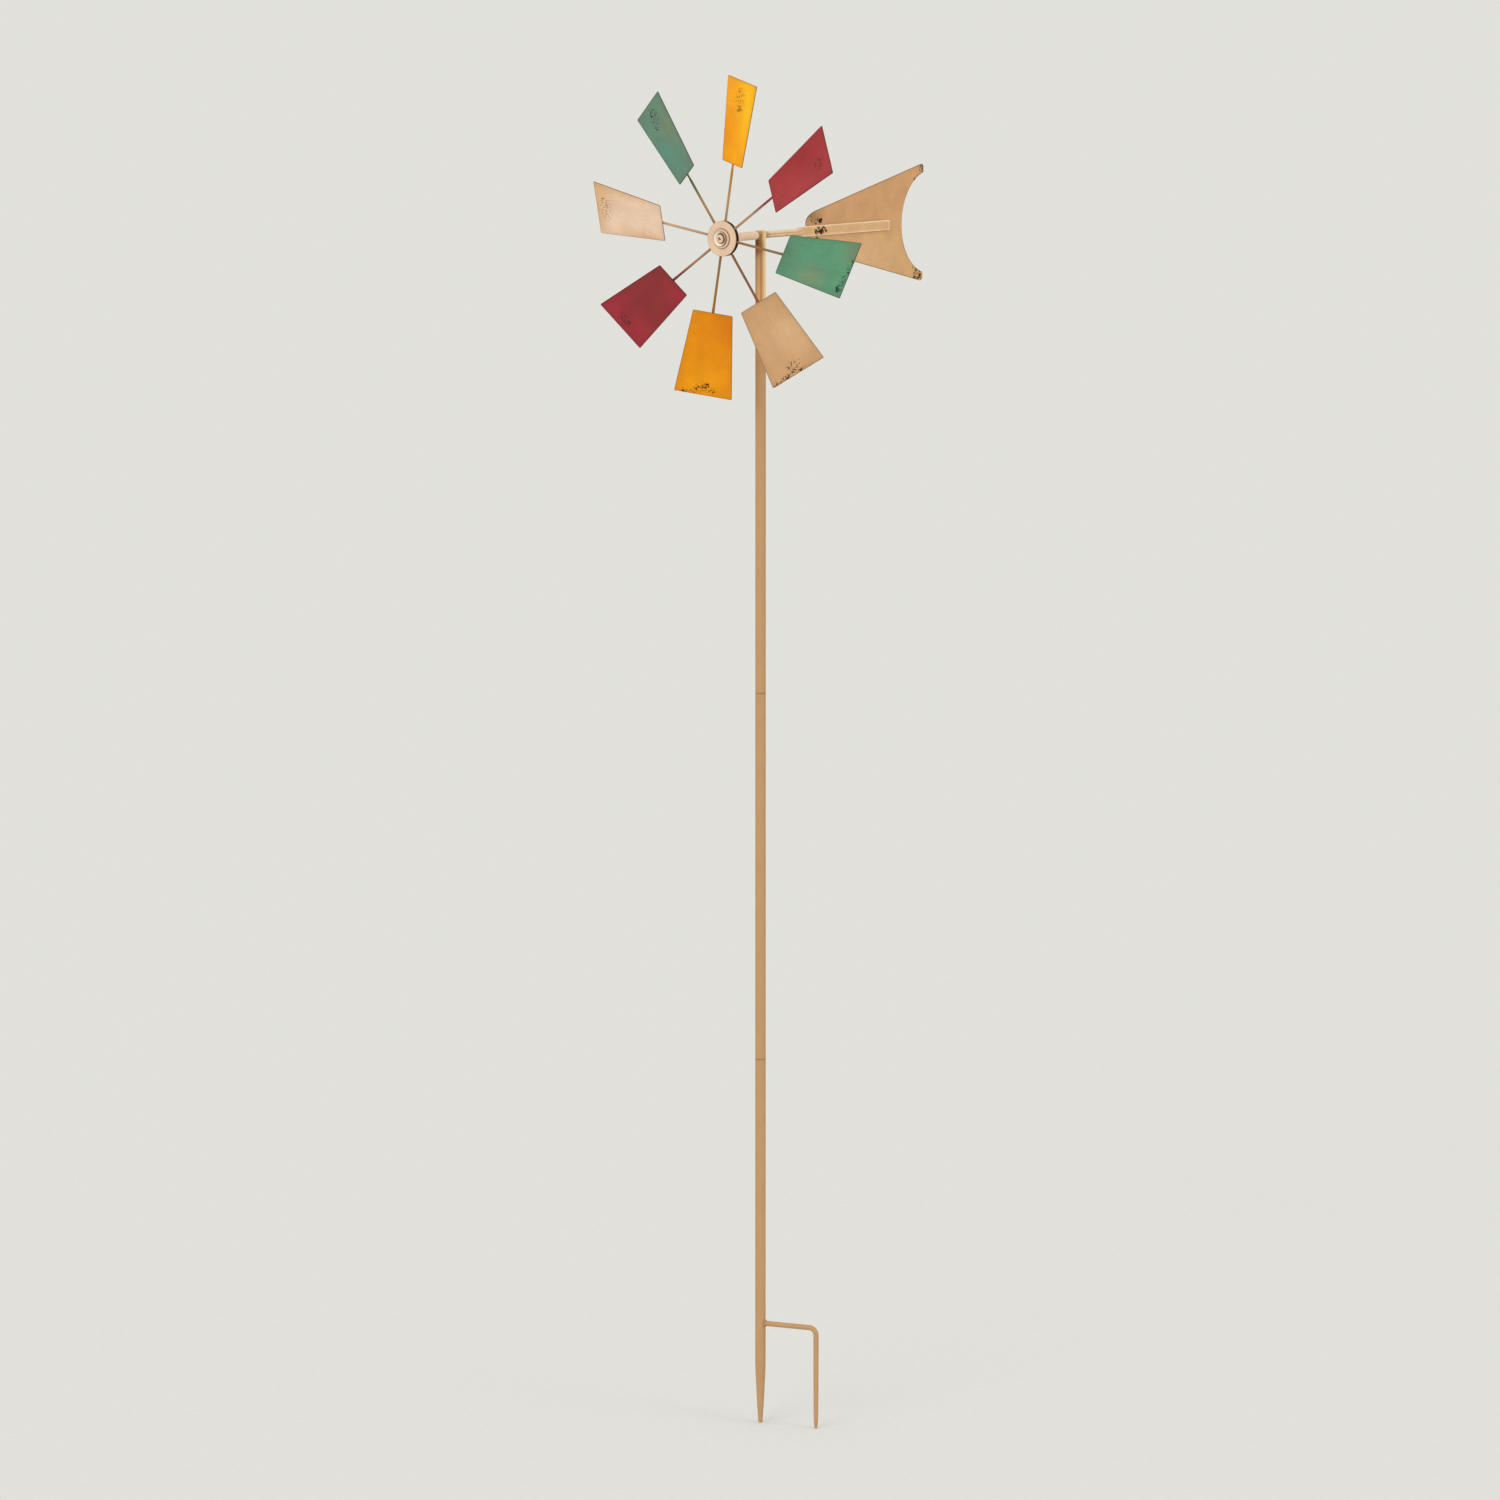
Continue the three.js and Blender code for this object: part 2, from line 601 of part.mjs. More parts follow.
// The boom and vane droop about the barrel's rear end.
const tailPivot = new THREE.Group();
tailPivot.position.set(0, BARREL_REAR_Y, BOOM_Z);
tailPivot.rotation.x = -TAIL_DROOP;
const tailLine = new THREE.Group();
tailLine.position.y = -BARREL_REAR_Y;
tailLine.add(
  named('boom_tube', boomTube(), FINISH.headCream()),
  named('tail_vane', tailVane(), FINISH.vaneTan()),
);
tailPivot.add(tailLine);

const head = new THREE.Group();
head.add(
  named('swivel_sleeve', swivelSleeve(), FINISH.headCream()),
  named('lower_swivel_bush', lowerSwivelBush(), FINISH.nylon()),
  named('upper_swivel_bush', upperSwivelBush(), FINISH.nylon()),
  boomLine,
  tailPivot,
);

// Everything whose Y is measured from the spoke plane.
const rotorLine = new THREE.Group();
rotorLine.position.set(0, ROTOR_Y, BOOM_Z);
rotorLine.add(
  named('front_axle_bush', frontAxleBush(), FINISH.nylon()),
  named('rear_axle_bush', rearAxleBush(), FINISH.nylon()),
  named('rotor_axle', rotorAxle(), FINISH.steel()),
  named('axle_clip', axleClip(), FINISH.steel()),
  named('spacer_washer', spacerWasher(), FINISH.steel()),
  named('rear_hub_disc', hubDisc(DISC_NEAR, DISC_FAR), FINISH.headCream()),
  named('hub_core', hubCore(), FINISH.steel()),
  named('front_hub_disc', hubDisc(-DISC_FAR, -DISC_NEAR), FINISH.headCream()),
  named('hub_washer', hubWasher(), FINISH.headCream()),
  named('cup_washer', cupWasher(), FINISH.headCream()),
  named('axle_screw', axleScrew(), FINISH.headCream()),
);

// Blades run clockwise from the top as seen from the front.
const BLADE_COLOURS = ['yellow', 'red', 'green', 'beige', 'yellow', 'red', 'beige', 'green'];
for (let i = 0; i < BLADE_COUNT; i += 1) {
  const colour = BLADE_COLOURS[i];
  const number = BLADE_COLOURS.slice(0, i + 1).filter((name) => name === colour).length;
  const arm = new THREE.Group();
  arm.rotation.order = 'YXZ';
  arm.rotation.y = FIRST_BLADE_ANGLE + (i * 2 * Math.PI) / BLADE_COUNT;
  arm.rotation.z = BLADE_PITCH;
  arm.add(
    named(`${colour}_spoke_${number}`, spoke(), FINISH[colour]()),
    named(`${colour}_blade_${number}`, blade(), FINISH[colour]()),
  );
  rotorLine.add(arm);
}

const windmill = new THREE.Group();
windmill.name = 'garden_windmill';
windmill.add(stake, head, rotorLine);

export default windmill;
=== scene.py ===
"""The looks of a garden windmill: painted sheet blades, a tail vane and a tube stake.

Shapes are worked out in millimetres, each in a frame of its own, and placed in the frame's metres.
A piece's own points are kept on its mesh as "local", which the paint's pattern follows.
"""

import json
import math

import bmesh
import bpy
import numpy as np
from mathutils import Matrix, Vector, geometry, noise


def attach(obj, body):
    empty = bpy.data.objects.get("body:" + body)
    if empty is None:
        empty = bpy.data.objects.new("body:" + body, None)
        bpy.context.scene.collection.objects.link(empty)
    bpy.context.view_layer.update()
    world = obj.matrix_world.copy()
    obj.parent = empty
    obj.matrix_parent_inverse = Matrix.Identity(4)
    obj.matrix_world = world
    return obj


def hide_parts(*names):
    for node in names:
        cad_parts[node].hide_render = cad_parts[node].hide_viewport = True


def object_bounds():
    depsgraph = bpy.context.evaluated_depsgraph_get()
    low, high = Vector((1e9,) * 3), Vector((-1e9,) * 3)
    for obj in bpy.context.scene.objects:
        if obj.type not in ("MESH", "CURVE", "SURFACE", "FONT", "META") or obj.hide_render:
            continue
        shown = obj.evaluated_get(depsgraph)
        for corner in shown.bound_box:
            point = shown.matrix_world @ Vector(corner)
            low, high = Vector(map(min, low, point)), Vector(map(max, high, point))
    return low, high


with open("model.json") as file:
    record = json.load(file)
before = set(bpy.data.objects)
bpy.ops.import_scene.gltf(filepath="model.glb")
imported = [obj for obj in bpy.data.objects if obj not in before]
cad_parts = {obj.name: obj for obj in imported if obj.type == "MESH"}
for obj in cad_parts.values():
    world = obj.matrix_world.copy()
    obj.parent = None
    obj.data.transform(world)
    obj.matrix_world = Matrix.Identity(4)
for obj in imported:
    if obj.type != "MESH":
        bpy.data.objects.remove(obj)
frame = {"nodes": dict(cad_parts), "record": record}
cad_low, cad_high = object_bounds()

MM = 0.001  # metres in a millimetre

# ---- What the frame says ----

joints = {joint["name"]: joint for joint in frame["record"]["behaviour"]["joints"]}
hub = Vector(joints["rotor_spin"]["pos_m"]) / MM  # where the boom's axis crosses the plane of the spokes
swivel = Vector(joints["head_swivel"]["pos_m"]) / MM  # where the boom's axis crosses the stake's

GROUND = Matrix.Identity(4)
HEAD = Matrix.Translation(swivel)
HUB = Matrix.Translation(hub)


def corners(node):
    """The points of a CAD node, in millimetres."""
    return np.array([v.co for v in frame["nodes"][node].data.vertices]) / MM


def extent(node, own=GROUND):
    """A CAD node's lowest and highest corners in a piece's own frame."""
    back = np.array(own.inverted())
    points = corners(node) @ back[:3, :3].T + back[:3, 3]
    return Vector(points.min(0)), Vector(points.max(0))


def turned_extent(node):
    """The outer radius, front and back of a piece turned about the rotor's axis."""
    low, high = extent(node, HUB)
    return high.x, low.y, high.y


def tail_frame():
    """The head's frame, turned down about the barrel's rear end by as much as the boom droops."""
    end = corners("boom_tube") - np.array(swivel)
    end = end[end[:, 1] > end[:, 1].max() - 1].mean(0)
    pivot = Matrix.Translation((0, extent("bearing_barrel", HEAD)[1].y, 0))
    droop = math.atan2(end[2], end[1] - pivot.translation.y)
    return HEAD @ pivot @ Matrix.Rotation(droop, 4, "X") @ pivot.inverted()


TAIL = tail_frame()


# ---- Shapes: each is (points in millimetres, faces) ----


def merged(*shapes):
    points, faces, start = [], [], 0
    for shape_points, shape_faces in shapes:
        points.append(shape_points)
        faces += [tuple(i + start for i in face) for face in shape_faces]
        start += len(shape_points)
    return np.concatenate(points), faces


def moved(shape, matrix):
    points, faces = shape
    rotation = np.array(matrix.to_3x3())
    return points @ rotation.T + np.array(matrix.translation), faces


def eased(corners, closed=False, steps=5):
    """Profile points with a round at each corner that gives a radius as its third number."""
    points = []
    for i, corner in enumerate(corners):
        at = Vector(corner[:2])
        radius = corner[2] if len(corner) > 2 else 0
        if radius == 0:
            points.append(tuple(at))
            continue
        before = Vector(corners[i - 1][:2])
        after = Vector(corners[(i + 1) % len(corners)][:2])
        start = at + (before - at).normalized() * radius
        end = at + (after - at).normalized() * radius
        points += curve(start, at, end, steps) + [tuple(end)]
    if closed:
        points.append(points[0])
    return points


def ring_section(bore, radius, start, end, outer, inner):
    """The closed profile of a plain ring or tube, with the rounds of its outer and inner edges."""
    return eased([(bore, start, inner), (radius, start, outer), (radius, end, outer),
                  (bore, end, inner)], True)


def lathe(profile, sides=96, axis="Y"):
    """A turned shape from (radius, along) points that start and end on the axis or close on themselves."""
    closed = math.dist(profile[0], profile[-1]) < 1e-9
    if closed:
        profile = profile[:-1]
    turns = np.linspace(0, 2 * math.pi, sides, endpoint=False)
    points, rings = [], []
    for radius, along in profile:
        ring_radius = np.full(1 if radius < 1e-6 else sides, radius)
        turn = turns[: len(ring_radius)]
        rings.append(range(len(points), len(points) + len(ring_radius)))
        across, rise = ring_radius * np.cos(turn), ring_radius * np.sin(turn)
        height = np.full(len(turn), along)
        ring = (across, height, rise) if axis == "Y" else (across, rise, height)
        points += list(np.column_stack(ring))
    pairs = list(zip(rings, rings[1:]))
    if closed:
        pairs.append((rings[-1], rings[0]))
    faces = []
    for one, two in pairs:
        for i in range(sides):
            j = (i + 1) % sides
            a, b = one[i % len(one)], one[j % len(one)]
            c, d = two[j % len(two)], two[i % len(two)]
            face = tuple(dict.fromkeys((a, b, c, d)))
            if len(face) > 2:
                faces.append(face)
    return np.array(points, float), faces


def joined(rings, closed=False):
    """Joins rings of points in order: back round to the first, or with a fan that closes each end."""
    sides = len(rings[0])
    count = len(rings) * sides
    faces = []
    for one in range(0, count if closed else count - sides, sides):
        two = (one + sides) % count
        for k in range(sides):
            j = (k + 1) % sides
            faces.append((one + k, one + j, two + j, two + k))
    if closed:
        return np.concatenate(rings), faces
    last = count - sides
    for k in range(sides):
        j = (k + 1) % sides
        faces += [(count, j, k), (count + 1, last + k, last + j)]
    return np.concatenate([*rings, [rings[0].mean(0)], [rings[-1].mean(0)]]), faces


def within(values):
    """Values held between 0 and 1."""
    return np.clip(values, 0, 1)


def smooth(share):
    return share * share * (3 - 2 * share)


def pressed(radius, flat, power, share):
    """A rod's half sizes and power, part of the way from its round section to its flat one."""
    press = smooth(share)
    return [radius + (side - radius) * press for side in flat], 1 - (1 - power) * press


def rod(stations, side, sides=32, waist=0.0):
    """A rod through stations of (centre, direction, (half width, half depth), power).

    Power runs from 1 for a round section down towards 0 for a box. Waist pinches the middle of a flat
    section, as in a tube crushed in a press, by that share where the power is lowest.
    """
    side = Vector(side)
    rings = []
    for centre, along, half, power in stations:
        up = side.cross(Vector(along))
        ring = []
        for k in range(sides):
            turn = 2 * math.pi * (k + 0.5) / sides
            c, s = math.cos(turn), math.sin(turn)
            across = math.copysign(abs(c) ** power, c)
            rise = math.copysign(abs(s) ** power, s)
            if half[0] < half[1]:
                across *= 1 - waist * (1 - power) * (1 - rise**4)
            ring.append(Vector(centre) + side * (across * half[0]) + up * (rise * half[1]))
        rings.append(np.array(ring))
    return joined(rings)


def bead(path, radius, seed, closed=False, sides=12):
    """A weld bead: a lumpy rope along a path, with the ripple that a weld pool leaves."""
    path = [Vector(p) for p in path]
    count = len(path)
    rings = []
    for i, at in enumerate(path):
        before = path[i - 1] if closed or i else at
        after = path[(i + 1) % count] if closed or i < count - 1 else at
        along = (after - before).normalized()
        upright = abs(along.z) > 0.9
        side = along.cross(Vector((1, 0, 0) if upright else (0, 0, 1))).normalized()
        up = side.cross(along)
        end_taper = 1.0 if closed else math.sqrt(max(0.05, 1 - (2 * i / (count - 1) - 1) ** 4))
        ripple = 1 + 0.16 * math.sin(i * 1.7 + seed) + 0.3 * noise.noise(at * 0.7 + Vector((seed, 0, 0)))
        ring = []
        for k in range(sides):
            turn = 2 * math.pi * k / sides
            lump = 1 + 0.15 * noise.noise(at + Vector((math.cos(turn), math.sin(turn), seed)))
            size = radius * ripple * lump * end_taper
            ring.append(at + side * (math.cos(turn) * size) + up * (math.sin(turn) * size))
        rings.append(np.array(ring))
    return joined(rings, closed)


def saddle(tube_radius, ring_radius, lift, count):
    """Where another tube meets an upright one on its +X side: a closed path, lifted off the wall."""
    path = []
    for turn in np.linspace(0, 2 * math.pi, count, endpoint=False):
        across, rise = ring_radius * math.cos(turn), ring_radius * math.sin(turn)
        path.append((math.sqrt(max(0, tube_radius**2 - across**2)) + lift, across, rise))
    return path


def distance_to_outline(points, outline):
    """Each point's distance to a closed outline, both as arrays of (x, z)."""
    start, end = outline, np.roll(outline, -1, axis=0)
    run = end - start
    best = np.full(len(points), np.inf)
    for a, d in zip(start, run):
        t = within(((points - a) @ d) / max(d @ d, 1e-12))
        best = np.minimum(best, np.linalg.norm(points - a - t[:, None] * d, axis=1))
    return best


def inset(outline, depth):
    """An outline, given counter-clockwise, moved inwards."""
    before, after = np.roll(outline, 1, axis=0), np.roll(outline, -1, axis=0)
    run = after - before
    normal = np.column_stack((-run[:, 1], run[:, 0]))
    return outline + depth * normal / np.linalg.norm(normal, axis=1)[:, None]


def inside(points, outline):
    """Which points lie inside a closed outline."""
    found = np.zeros(len(points), bool)
    for (x1, z1), (x2, z2) in zip(outline, np.roll(outline, -1, axis=0)):
        if z1 == z2:
            continue
        crosses = (points[:, 1] < z1) != (points[:, 1] < z2)
        at = (x2 - x1) * (points[:, 1] - z1) / (z2 - z1) + x1
        found ^= crosses & (points[:, 0] < at)
    return found


SHEET_EASE = 0.22
RIM_RINGS = (0.5, 1.1, 2.2, 3.8)  # how far in from a sheet's edge its rings of points lie
RIM_KEEP = 0.93  # a ring's point that is nearer the edge than this share of its depth is left out
ROW_PITCH = 0.866  # the height of a row of even triangles
ROW_GAP = 0.45  # the share of the spacing that is left between the rings and the rows


def sheet(outline, front, back, spacing, waves):
    """A plate with softened edges from an outline in its own X-Z plane, between two depths in Y.

    It isn't quite flat: each wave is (height, width, length, seed).
    """
    outline = np.array(outline, float)
    if sum(x1 * z2 - x2 * z1 for (x1, z1), (x2, z2) in zip(outline, np.roll(outline, -1, axis=0))) < 0:
        outline = outline[::-1].copy()
    rim = inset(outline, SHEET_EASE)
    fill = [rim]
    for depth in RIM_RINGS:
        ring = inset(outline, depth)[:: 2 if depth == RIM_RINGS[-1] else 1]
        fill.append(ring[distance_to_outline(ring, outline) > depth * RIM_KEEP])
    (low_x, low_z), (high_x, high_z) = outline.min(0), outline.max(0)
    rows = np.arange(low_z, high_z, spacing * ROW_PITCH)
    for number, z in enumerate(rows):
        x = np.arange(low_x + (number % 2) * spacing / 2, high_x, spacing)
        row = np.column_stack((x, np.full(len(x), z)))
        row = row[inside(row, outline)]
        if len(row):
            fill.append(row[distance_to_outline(row, outline) > RIM_RINGS[-1] + spacing * ROW_GAP])
    flat = [Vector(p) for p in np.concatenate(fill)]
    count = len(rim)
    edges = [(i, (i + 1) % count) for i in range(count)]
    verts, _, faces, _, _, _ = geometry.delaunay_2d_cdt(flat, edges, [list(range(count))], 1, 1e-6)
    spread = np.array([tuple(v) for v in verts])
    levels = [(spread, front), (outline, front + SHEET_EASE), (outline, back - SHEET_EASE), (spread, back)]
    points = np.concatenate([np.column_stack((p[:, 0], np.full(len(p), y), p[:, 1])) for p, y in levels])
    starts = np.cumsum([0] + [len(p) for p, _ in levels])
    made = [tuple(reversed(f)) for f in faces]
    made += [tuple(i + int(starts[3]) for i in f) for f in faces]
    for i in range(count):
        j = (i + 1) % count
        for one, two in ((0, 1), (1, 2), (2, 3)):
            a, b = int(starts[one]), int(starts[two])
            made.append((a + i, a + j, b + j, b + i))
    points[:, 1] += [sum(height * noise.noise(Vector((x / width, z / length, seed)))
                         for height, width, length, seed in waves) for x, _, z in points]
    return points, made


def with_rings(profile, step=0.6):
    """A profile with extra points on its long straight stretches, so that rings of wash can lie on them."""
    points = [point for one, two in zip(profile, profile[1:]) for point in stepped(one, two, step, int)]
    return points + [profile[-1]]


def curve(start, control, end, steps=8):
    """Points along a quadratic curve, without its end."""
    start, control, end = Vector(start), Vector(control), Vector(end)
    shares = np.arange(steps) / steps
    return [tuple(start * (1 - t) ** 2 + control * 2 * t * (1 - t) + end * t**2) for t in shares]


def stepped(start, end, step=3.0, whole=round):
    """Points along a straight line, without its end."""
    count = max(1, whole(math.dist(start, end) / step))
    return [tuple(Vector(start).lerp(Vector(end), i / count)) for i in range(count)]


# ---- Colours ----


def linear(colour):
    """A linear colour from an sRGB one written #RRGGBB."""
    parts = np.array([int(colour[i : i + 2], 16) / 255 for i in (1, 3, 5)])
    return np.where(parts <= 0.04045, parts / 12.92, ((parts + 0.055) / 1.055) ** 2.4)


def blend(one, two, share):
    """One colour, or a colour for each point, turned into another by each point's share."""
    one, two = (linear(c) if isinstance(c, str) else c for c in (one, two))
    return one + (two - one) * share[:, None]


def coated(colour, *coats):
    """A colour with others laid over it in turn, each by its share at each point."""
    for tone, share in coats:
        colour = blend(colour, tone, share)
    return colour


def bell(gap, width):
    """1 where the gap is nothing, falling smoothly to 0 past the width."""
    return np.exp(-((gap / width) ** 2))


def patch(points, spot, radius):
    """1 over a spot's whole patch, falling quickly to 0 at its radius."""
    return np.exp(-(np.linalg.norm((points - np.array(spot)) / radius, axis=1) ** 4))


def near(points, spot, radius):
    """How close each point is to a spot: 1 on it, falling smoothly to 0 past the radius."""
    return bell(np.linalg.norm((points - np.array(spot)) / radius, axis=1), 1)


# ---- Materials ----


class Tree:
    """A material's node tree, with short calls for the nodes that the finishes use."""

    def __init__(self, name):
        self.material = bpy.data.materials.new(name)
        self.material.use_nodes = True
        self.nodes = self.material.node_tree.nodes
        self.links = self.material.node_tree.links
        self.shader = self.nodes["Principled BSDF"]

    def set(self, socket, value):
        if isinstance(value, bpy.types.NodeSocket):
            self.links.new(value, socket)
        elif value is not None:
            socket.default_value = value

    def node(self, kind, values=(), **settings):
        """A new node. Its values go to its first sockets, or to the ones that a dict's keys name."""
        node = self.nodes.new("ShaderNode" + kind)
        for name, setting in settings.items():
            setattr(node, name, setting)
        for key, value in values.items() if isinstance(values, dict) else enumerate(values):
            self.set(node.inputs[key], value)
        return node

    def vector(self, operation, one, two):
        values = {0: one, "Scale" if operation == "SCALE" else 1: two}
        node = self.node("VectorMath", values, operation=operation)
        return node.outputs["Value" if operation in ("LENGTH", "DOT_PRODUCT") else "Vector"]

    def math(self, operation, *values, clamp=False):
        return self.node("Math", values, operation=operation, use_clamp=clamp).outputs[0]

    def attribute(self, name, output="Fac"):
        return self.node("Attribute", attribute_name=name).outputs[output]

    def place(self):
        """The place in the frame at rest, in millimetres."""
        return self.vector("SCALE", self.node("TexCoord").outputs["Object"], 1 / MM)

    def noise(self, vector, size, detail=2.0, rough=0.5, warp=0.0):
        """Noise whose lumps are about the given size, in millimetres."""
        values = {"Vector": vector, "Scale": 1 / size, "Detail": detail, "Roughness": rough,
                  "Distortion": warp}
        return self.node("TexNoise", values).outputs[0]

    def spangle(self, vector, size):
        """A random colour for each cell of about the given size."""
        return self.node("TexVoronoi", {"Vector": vector, "Scale": 1 / size}).outputs["Color"]

    def ramp(self, value, low, high, start=0.0, end=1.0):
        """The value's smooth rise from start to end, as it goes from low to high."""
        values = (value, low, high, start, end)
        return self.node("MapRange", values, interpolation_type="SMOOTHSTEP").outputs[0]

    def mix(self, share, one, two, blend="MIX"):
        node = self.node("Mix", {"Factor": share}, data_type="RGBA", blend_type=blend)
        for socket, colour in zip([s for s in node.inputs if s.type == "RGBA"], (one, two)):
            self.set(socket, (*linear(colour), 1.0) if isinstance(colour, str) else colour)
        return next(s for s in node.outputs if s.type == "RGBA")

    def shade(self, colour, pattern, depth):
        """Darkens and brightens a colour by the given share, as a noise pattern swings."""
        return self.vector("SCALE", colour, self.ramp(pattern, 0.3, 0.7, 1 - depth, 1 + depth))

    def bump(self, height, depth, under=None):
        """A bump whose full height is the given depth, in millimetres."""
        return self.node("Bump", {"Distance": depth * MM, "Height": height, "Normal": under}).outputs[0]

    def finished(self, colour, rough, relief=None, metallic=0.0, specular=0.5):
        """The material, with its patterns or even values set on the shader."""
        values = {"Base Color": colour, "Roughness": rough, "Normal": relief, "Metallic": metallic,
                  "Specular IOR Level": specular}
        for name, value in values.items():
            self.set(self.shader.inputs[name], value)
        return self.material


def distance_to_line(tree, point, start, end):
    """The distance from a point to a straight line between two others."""
    run = Vector(end) - Vector(start)
    offset = tree.vector("SUBTRACT", point, start)
    share = tree.math("DIVIDE", tree.vector("DOT_PRODUCT", offset, run), run.length_squared, clamp=True)
    along = tree.vector("SCALE", tree.node("CombineXYZ", run).outputs[0], share)
    return tree.vector("LENGTH", tree.vector("SUBTRACT", offset, along), None)


ENAMEL_ROUGHNESS = 0.5


def enamel(name, along, streak, wash_and_shade="#4E311C", chip="#1E130C", stain="#8A6034", crumb=4.4, cloudy=0.06,
           scratch=None):
    """Hand-finished enamel on metal.

    The mesh gives the paint's colour, which on some pieces holds painted highlights and shade, and where
    wear and the dark antique wash lie; on some pieces the wash also stands for painted shade in gaps and
    under parts. This adds cloudy depth in the coat, faint brush streaks, a fine grain, chips down to dark
    metal, and their relief.
    """
    t = Tree(name)
    local = t.attribute("local", "Vector")
    cloud = t.noise(local, 26.0, 3.0, 0.5)
    brushed = t.noise(t.vector("MULTIPLY", local, along), 1.3, 3.0, 0.55)
    grain = t.noise(local, 0.7, 2.0, 0.6)
    colour = t.shade(t.attribute("paint", "Color"), cloud, cloudy)
    colour = t.shade(colour, brushed, streak)
    colour = t.shade(colour, grain, 0.06)
    if scratch:
        gap = t.math("ADD", distance_to_line(t, local, *scratch), t.ramp(grain, 0.3, 0.7, -0.25, 0.25))
        colour = t.mix(t.ramp(gap, 0.9, 0.25, 0.0, 0.55), colour, "#F2D9B4")

    smear = t.noise(local, 2.2, 3.0, 0.6)
    # The wash layer holds antique wash and, on some pieces, painted shade in gaps and under parts
    washed_and_shaded = t.math("MULTIPLY", t.attribute("wash_and_shade"), t.ramp(smear, 0.36, 0.56, 0.8, 1.0), clamp=True)
    colour = t.mix(washed_and_shaded, colour, wash_and_shade)

    # The more a place is worn, the lower the noise that already counts as a chip
    wear = t.attribute("wear")
    crumbs = t.noise(local, crumb, 3.0, 0.6, 0.5)
    specks = t.noise(local, crumb * 0.45, 1.0, 0.5)
    lumps = t.math("MAXIMUM", crumbs, t.math("SUBTRACT", specks, 0.03))
    reach = t.math("MULTIPLY_ADD", wear, 0.31, t.math("SUBTRACT", lumps, 0.81))
    chipped = t.ramp(reach, 0.0, 0.015)
    stained = t.ramp(reach, -0.05, 0.0, 0.0, 0.5)
    colour = t.mix(stained, colour, stain, "MULTIPLY")
    colour = t.mix(chipped, colour, chip)

    sheen = t.math("ADD", t.ramp(cloud, 0.3, 0.7, -0.05, 0.07), t.ramp(grain, 0.3, 0.7, -0.03, 0.04))
    dull = t.math("MULTIPLY_ADD", chipped, 0.25, t.math("MULTIPLY", washed_and_shaded, 0.12))
    gloss = t.math("ADD", t.math("ADD", sheen, dull), ENAMEL_ROUGHNESS, clamp=True)

    peel = t.bump(t.noise(local, 1.8, 2.0, 0.5), 0.04)
    brush_marks = t.bump(brushed, 0.03, peel)
    pits = t.bump(grain, 0.02, brush_marks)
    relief = t.bump(t.math("SUBTRACT", 1.0, chipped), 0.12, pits)
    return t.finished(colour, gloss, relief, specular=0.16)


def plated(name):
    """Zinc-plated steel: bright, with drawn lines, faint crystal patches and dull spots."""
    t = Tree(name)
    place = t.place()
    lines = t.noise(t.vector("MULTIPLY", place, (1.0, 0.08, 0.08)), 0.35, 3.0, 0.6)
    patch = t.noise(place, 7.0, 3.0, 0.6)
    colour = t.mix(t.ramp(patch, 0.35, 0.7), "#A9A69F", "#8D8A86")
    colour = t.mix(0.12, colour, t.spangle(place, 2.6), "OVERLAY")
    colour = t.mix(t.ramp(lines, 0.5, 0.75, 0.0, 0.4), colour, "#77736D")
    dull = t.math("ADD", t.ramp(patch, 0.3, 0.7, 0.0, 0.16), t.ramp(lines, 0.3, 0.7, 0.28, 0.4))
    return t.finished(colour, dull, t.bump(lines, 0.02, t.bump(patch, 0.04)), metallic=1.0)


def moulded(name):
    """Black nylon with a fine moulded grain and a few scuffs."""
    t = Tree(name)
    place = t.place()
    grain = t.noise(place, 0.3, 2.0, 0.6)
    patch = t.noise(place, 4.0, 3.0, 0.6)
    scuff = t.noise(t.vector("MULTIPLY", place, (0.2, 1.0, 1.0)), 0.7, 3.0, 0.7)
    colour = t.mix(t.ramp(patch, 0.35, 0.7), "#2C2A27", "#383530")
    colour = t.mix(t.ramp(scuff, 0.62, 0.8, 0.0, 0.5), colour, "#5A564E")
    dull = t.math("ADD", t.ramp(grain, 0.3, 0.7, 0.0, 0.12), t.ramp(patch, 0.3, 0.7, 0.42, 0.55))
    return t.finished(colour, dull, t.bump(grain, 0.02))


ALONG_Y = (1.0, 0.06, 1.0)
ALONG_Z = (1.0, 1.0, 0.06)
VANE_SCRATCH = ((244, 0, -17), (308, 0, -27))

FINISHES = {
    "pole_tan": enamel("tan_enamel", ALONG_Z, 0.02, cloudy=0.02),
    "head_cream": enamel("cream_enamel", ALONG_Y, 0.03, crumb=6.4),
    "vane_tan": enamel("vane_enamel", (0.06, 1.0, 1.0), 0.025, crumb=5.6, scratch=VANE_SCRATCH),
    "yellow_paint": enamel("yellow_enamel", ALONG_Z, 0.02, wash_and_shade="#7A4A10", chip="#2E1A08", stain="#9A6420",
                            crumb=3.0),
    "red_paint": enamel("red_enamel", ALONG_Z, 0.03, wash_and_shade="#4A1216", chip="#30100F", stain="#6E3A38",
                        crumb=3.0),
    "green_paint": enamel("green_enamel", ALONG_Z, 0.045, wash_and_shade="#3A3E26", chip="#141810", stain="#5E6046",
                          crumb=3.0),
    "beige_paint": enamel("beige_enamel", ALONG_Z, 0.04, wash_and_shade="#6E4628", chip="#2A1A10", crumb=3.2),
    "beige_stipple": enamel("stippled_enamel", ALONG_Z, 0.03, wash_and_shade="#7A5230", chip="#6A4A2C", crumb=2.6),
    "zinc_steel": plated("zinc_plate"),
    "bush_nylon": moulded("black_nylon"),
}

# ---- Making pieces ----

PREFIXES = {"zinc_steel": "plated_", "bush_nylon": "moulded_"}
SHARP_ANGLE = math.radians(50)


def linked(name, data):
    """A new object in the scene."""
    new = bpy.data.objects.new(name, data)
    bpy.context.scene.collection.objects.link(new)
    return new


def bare(points):
    return np.zeros(len(points))


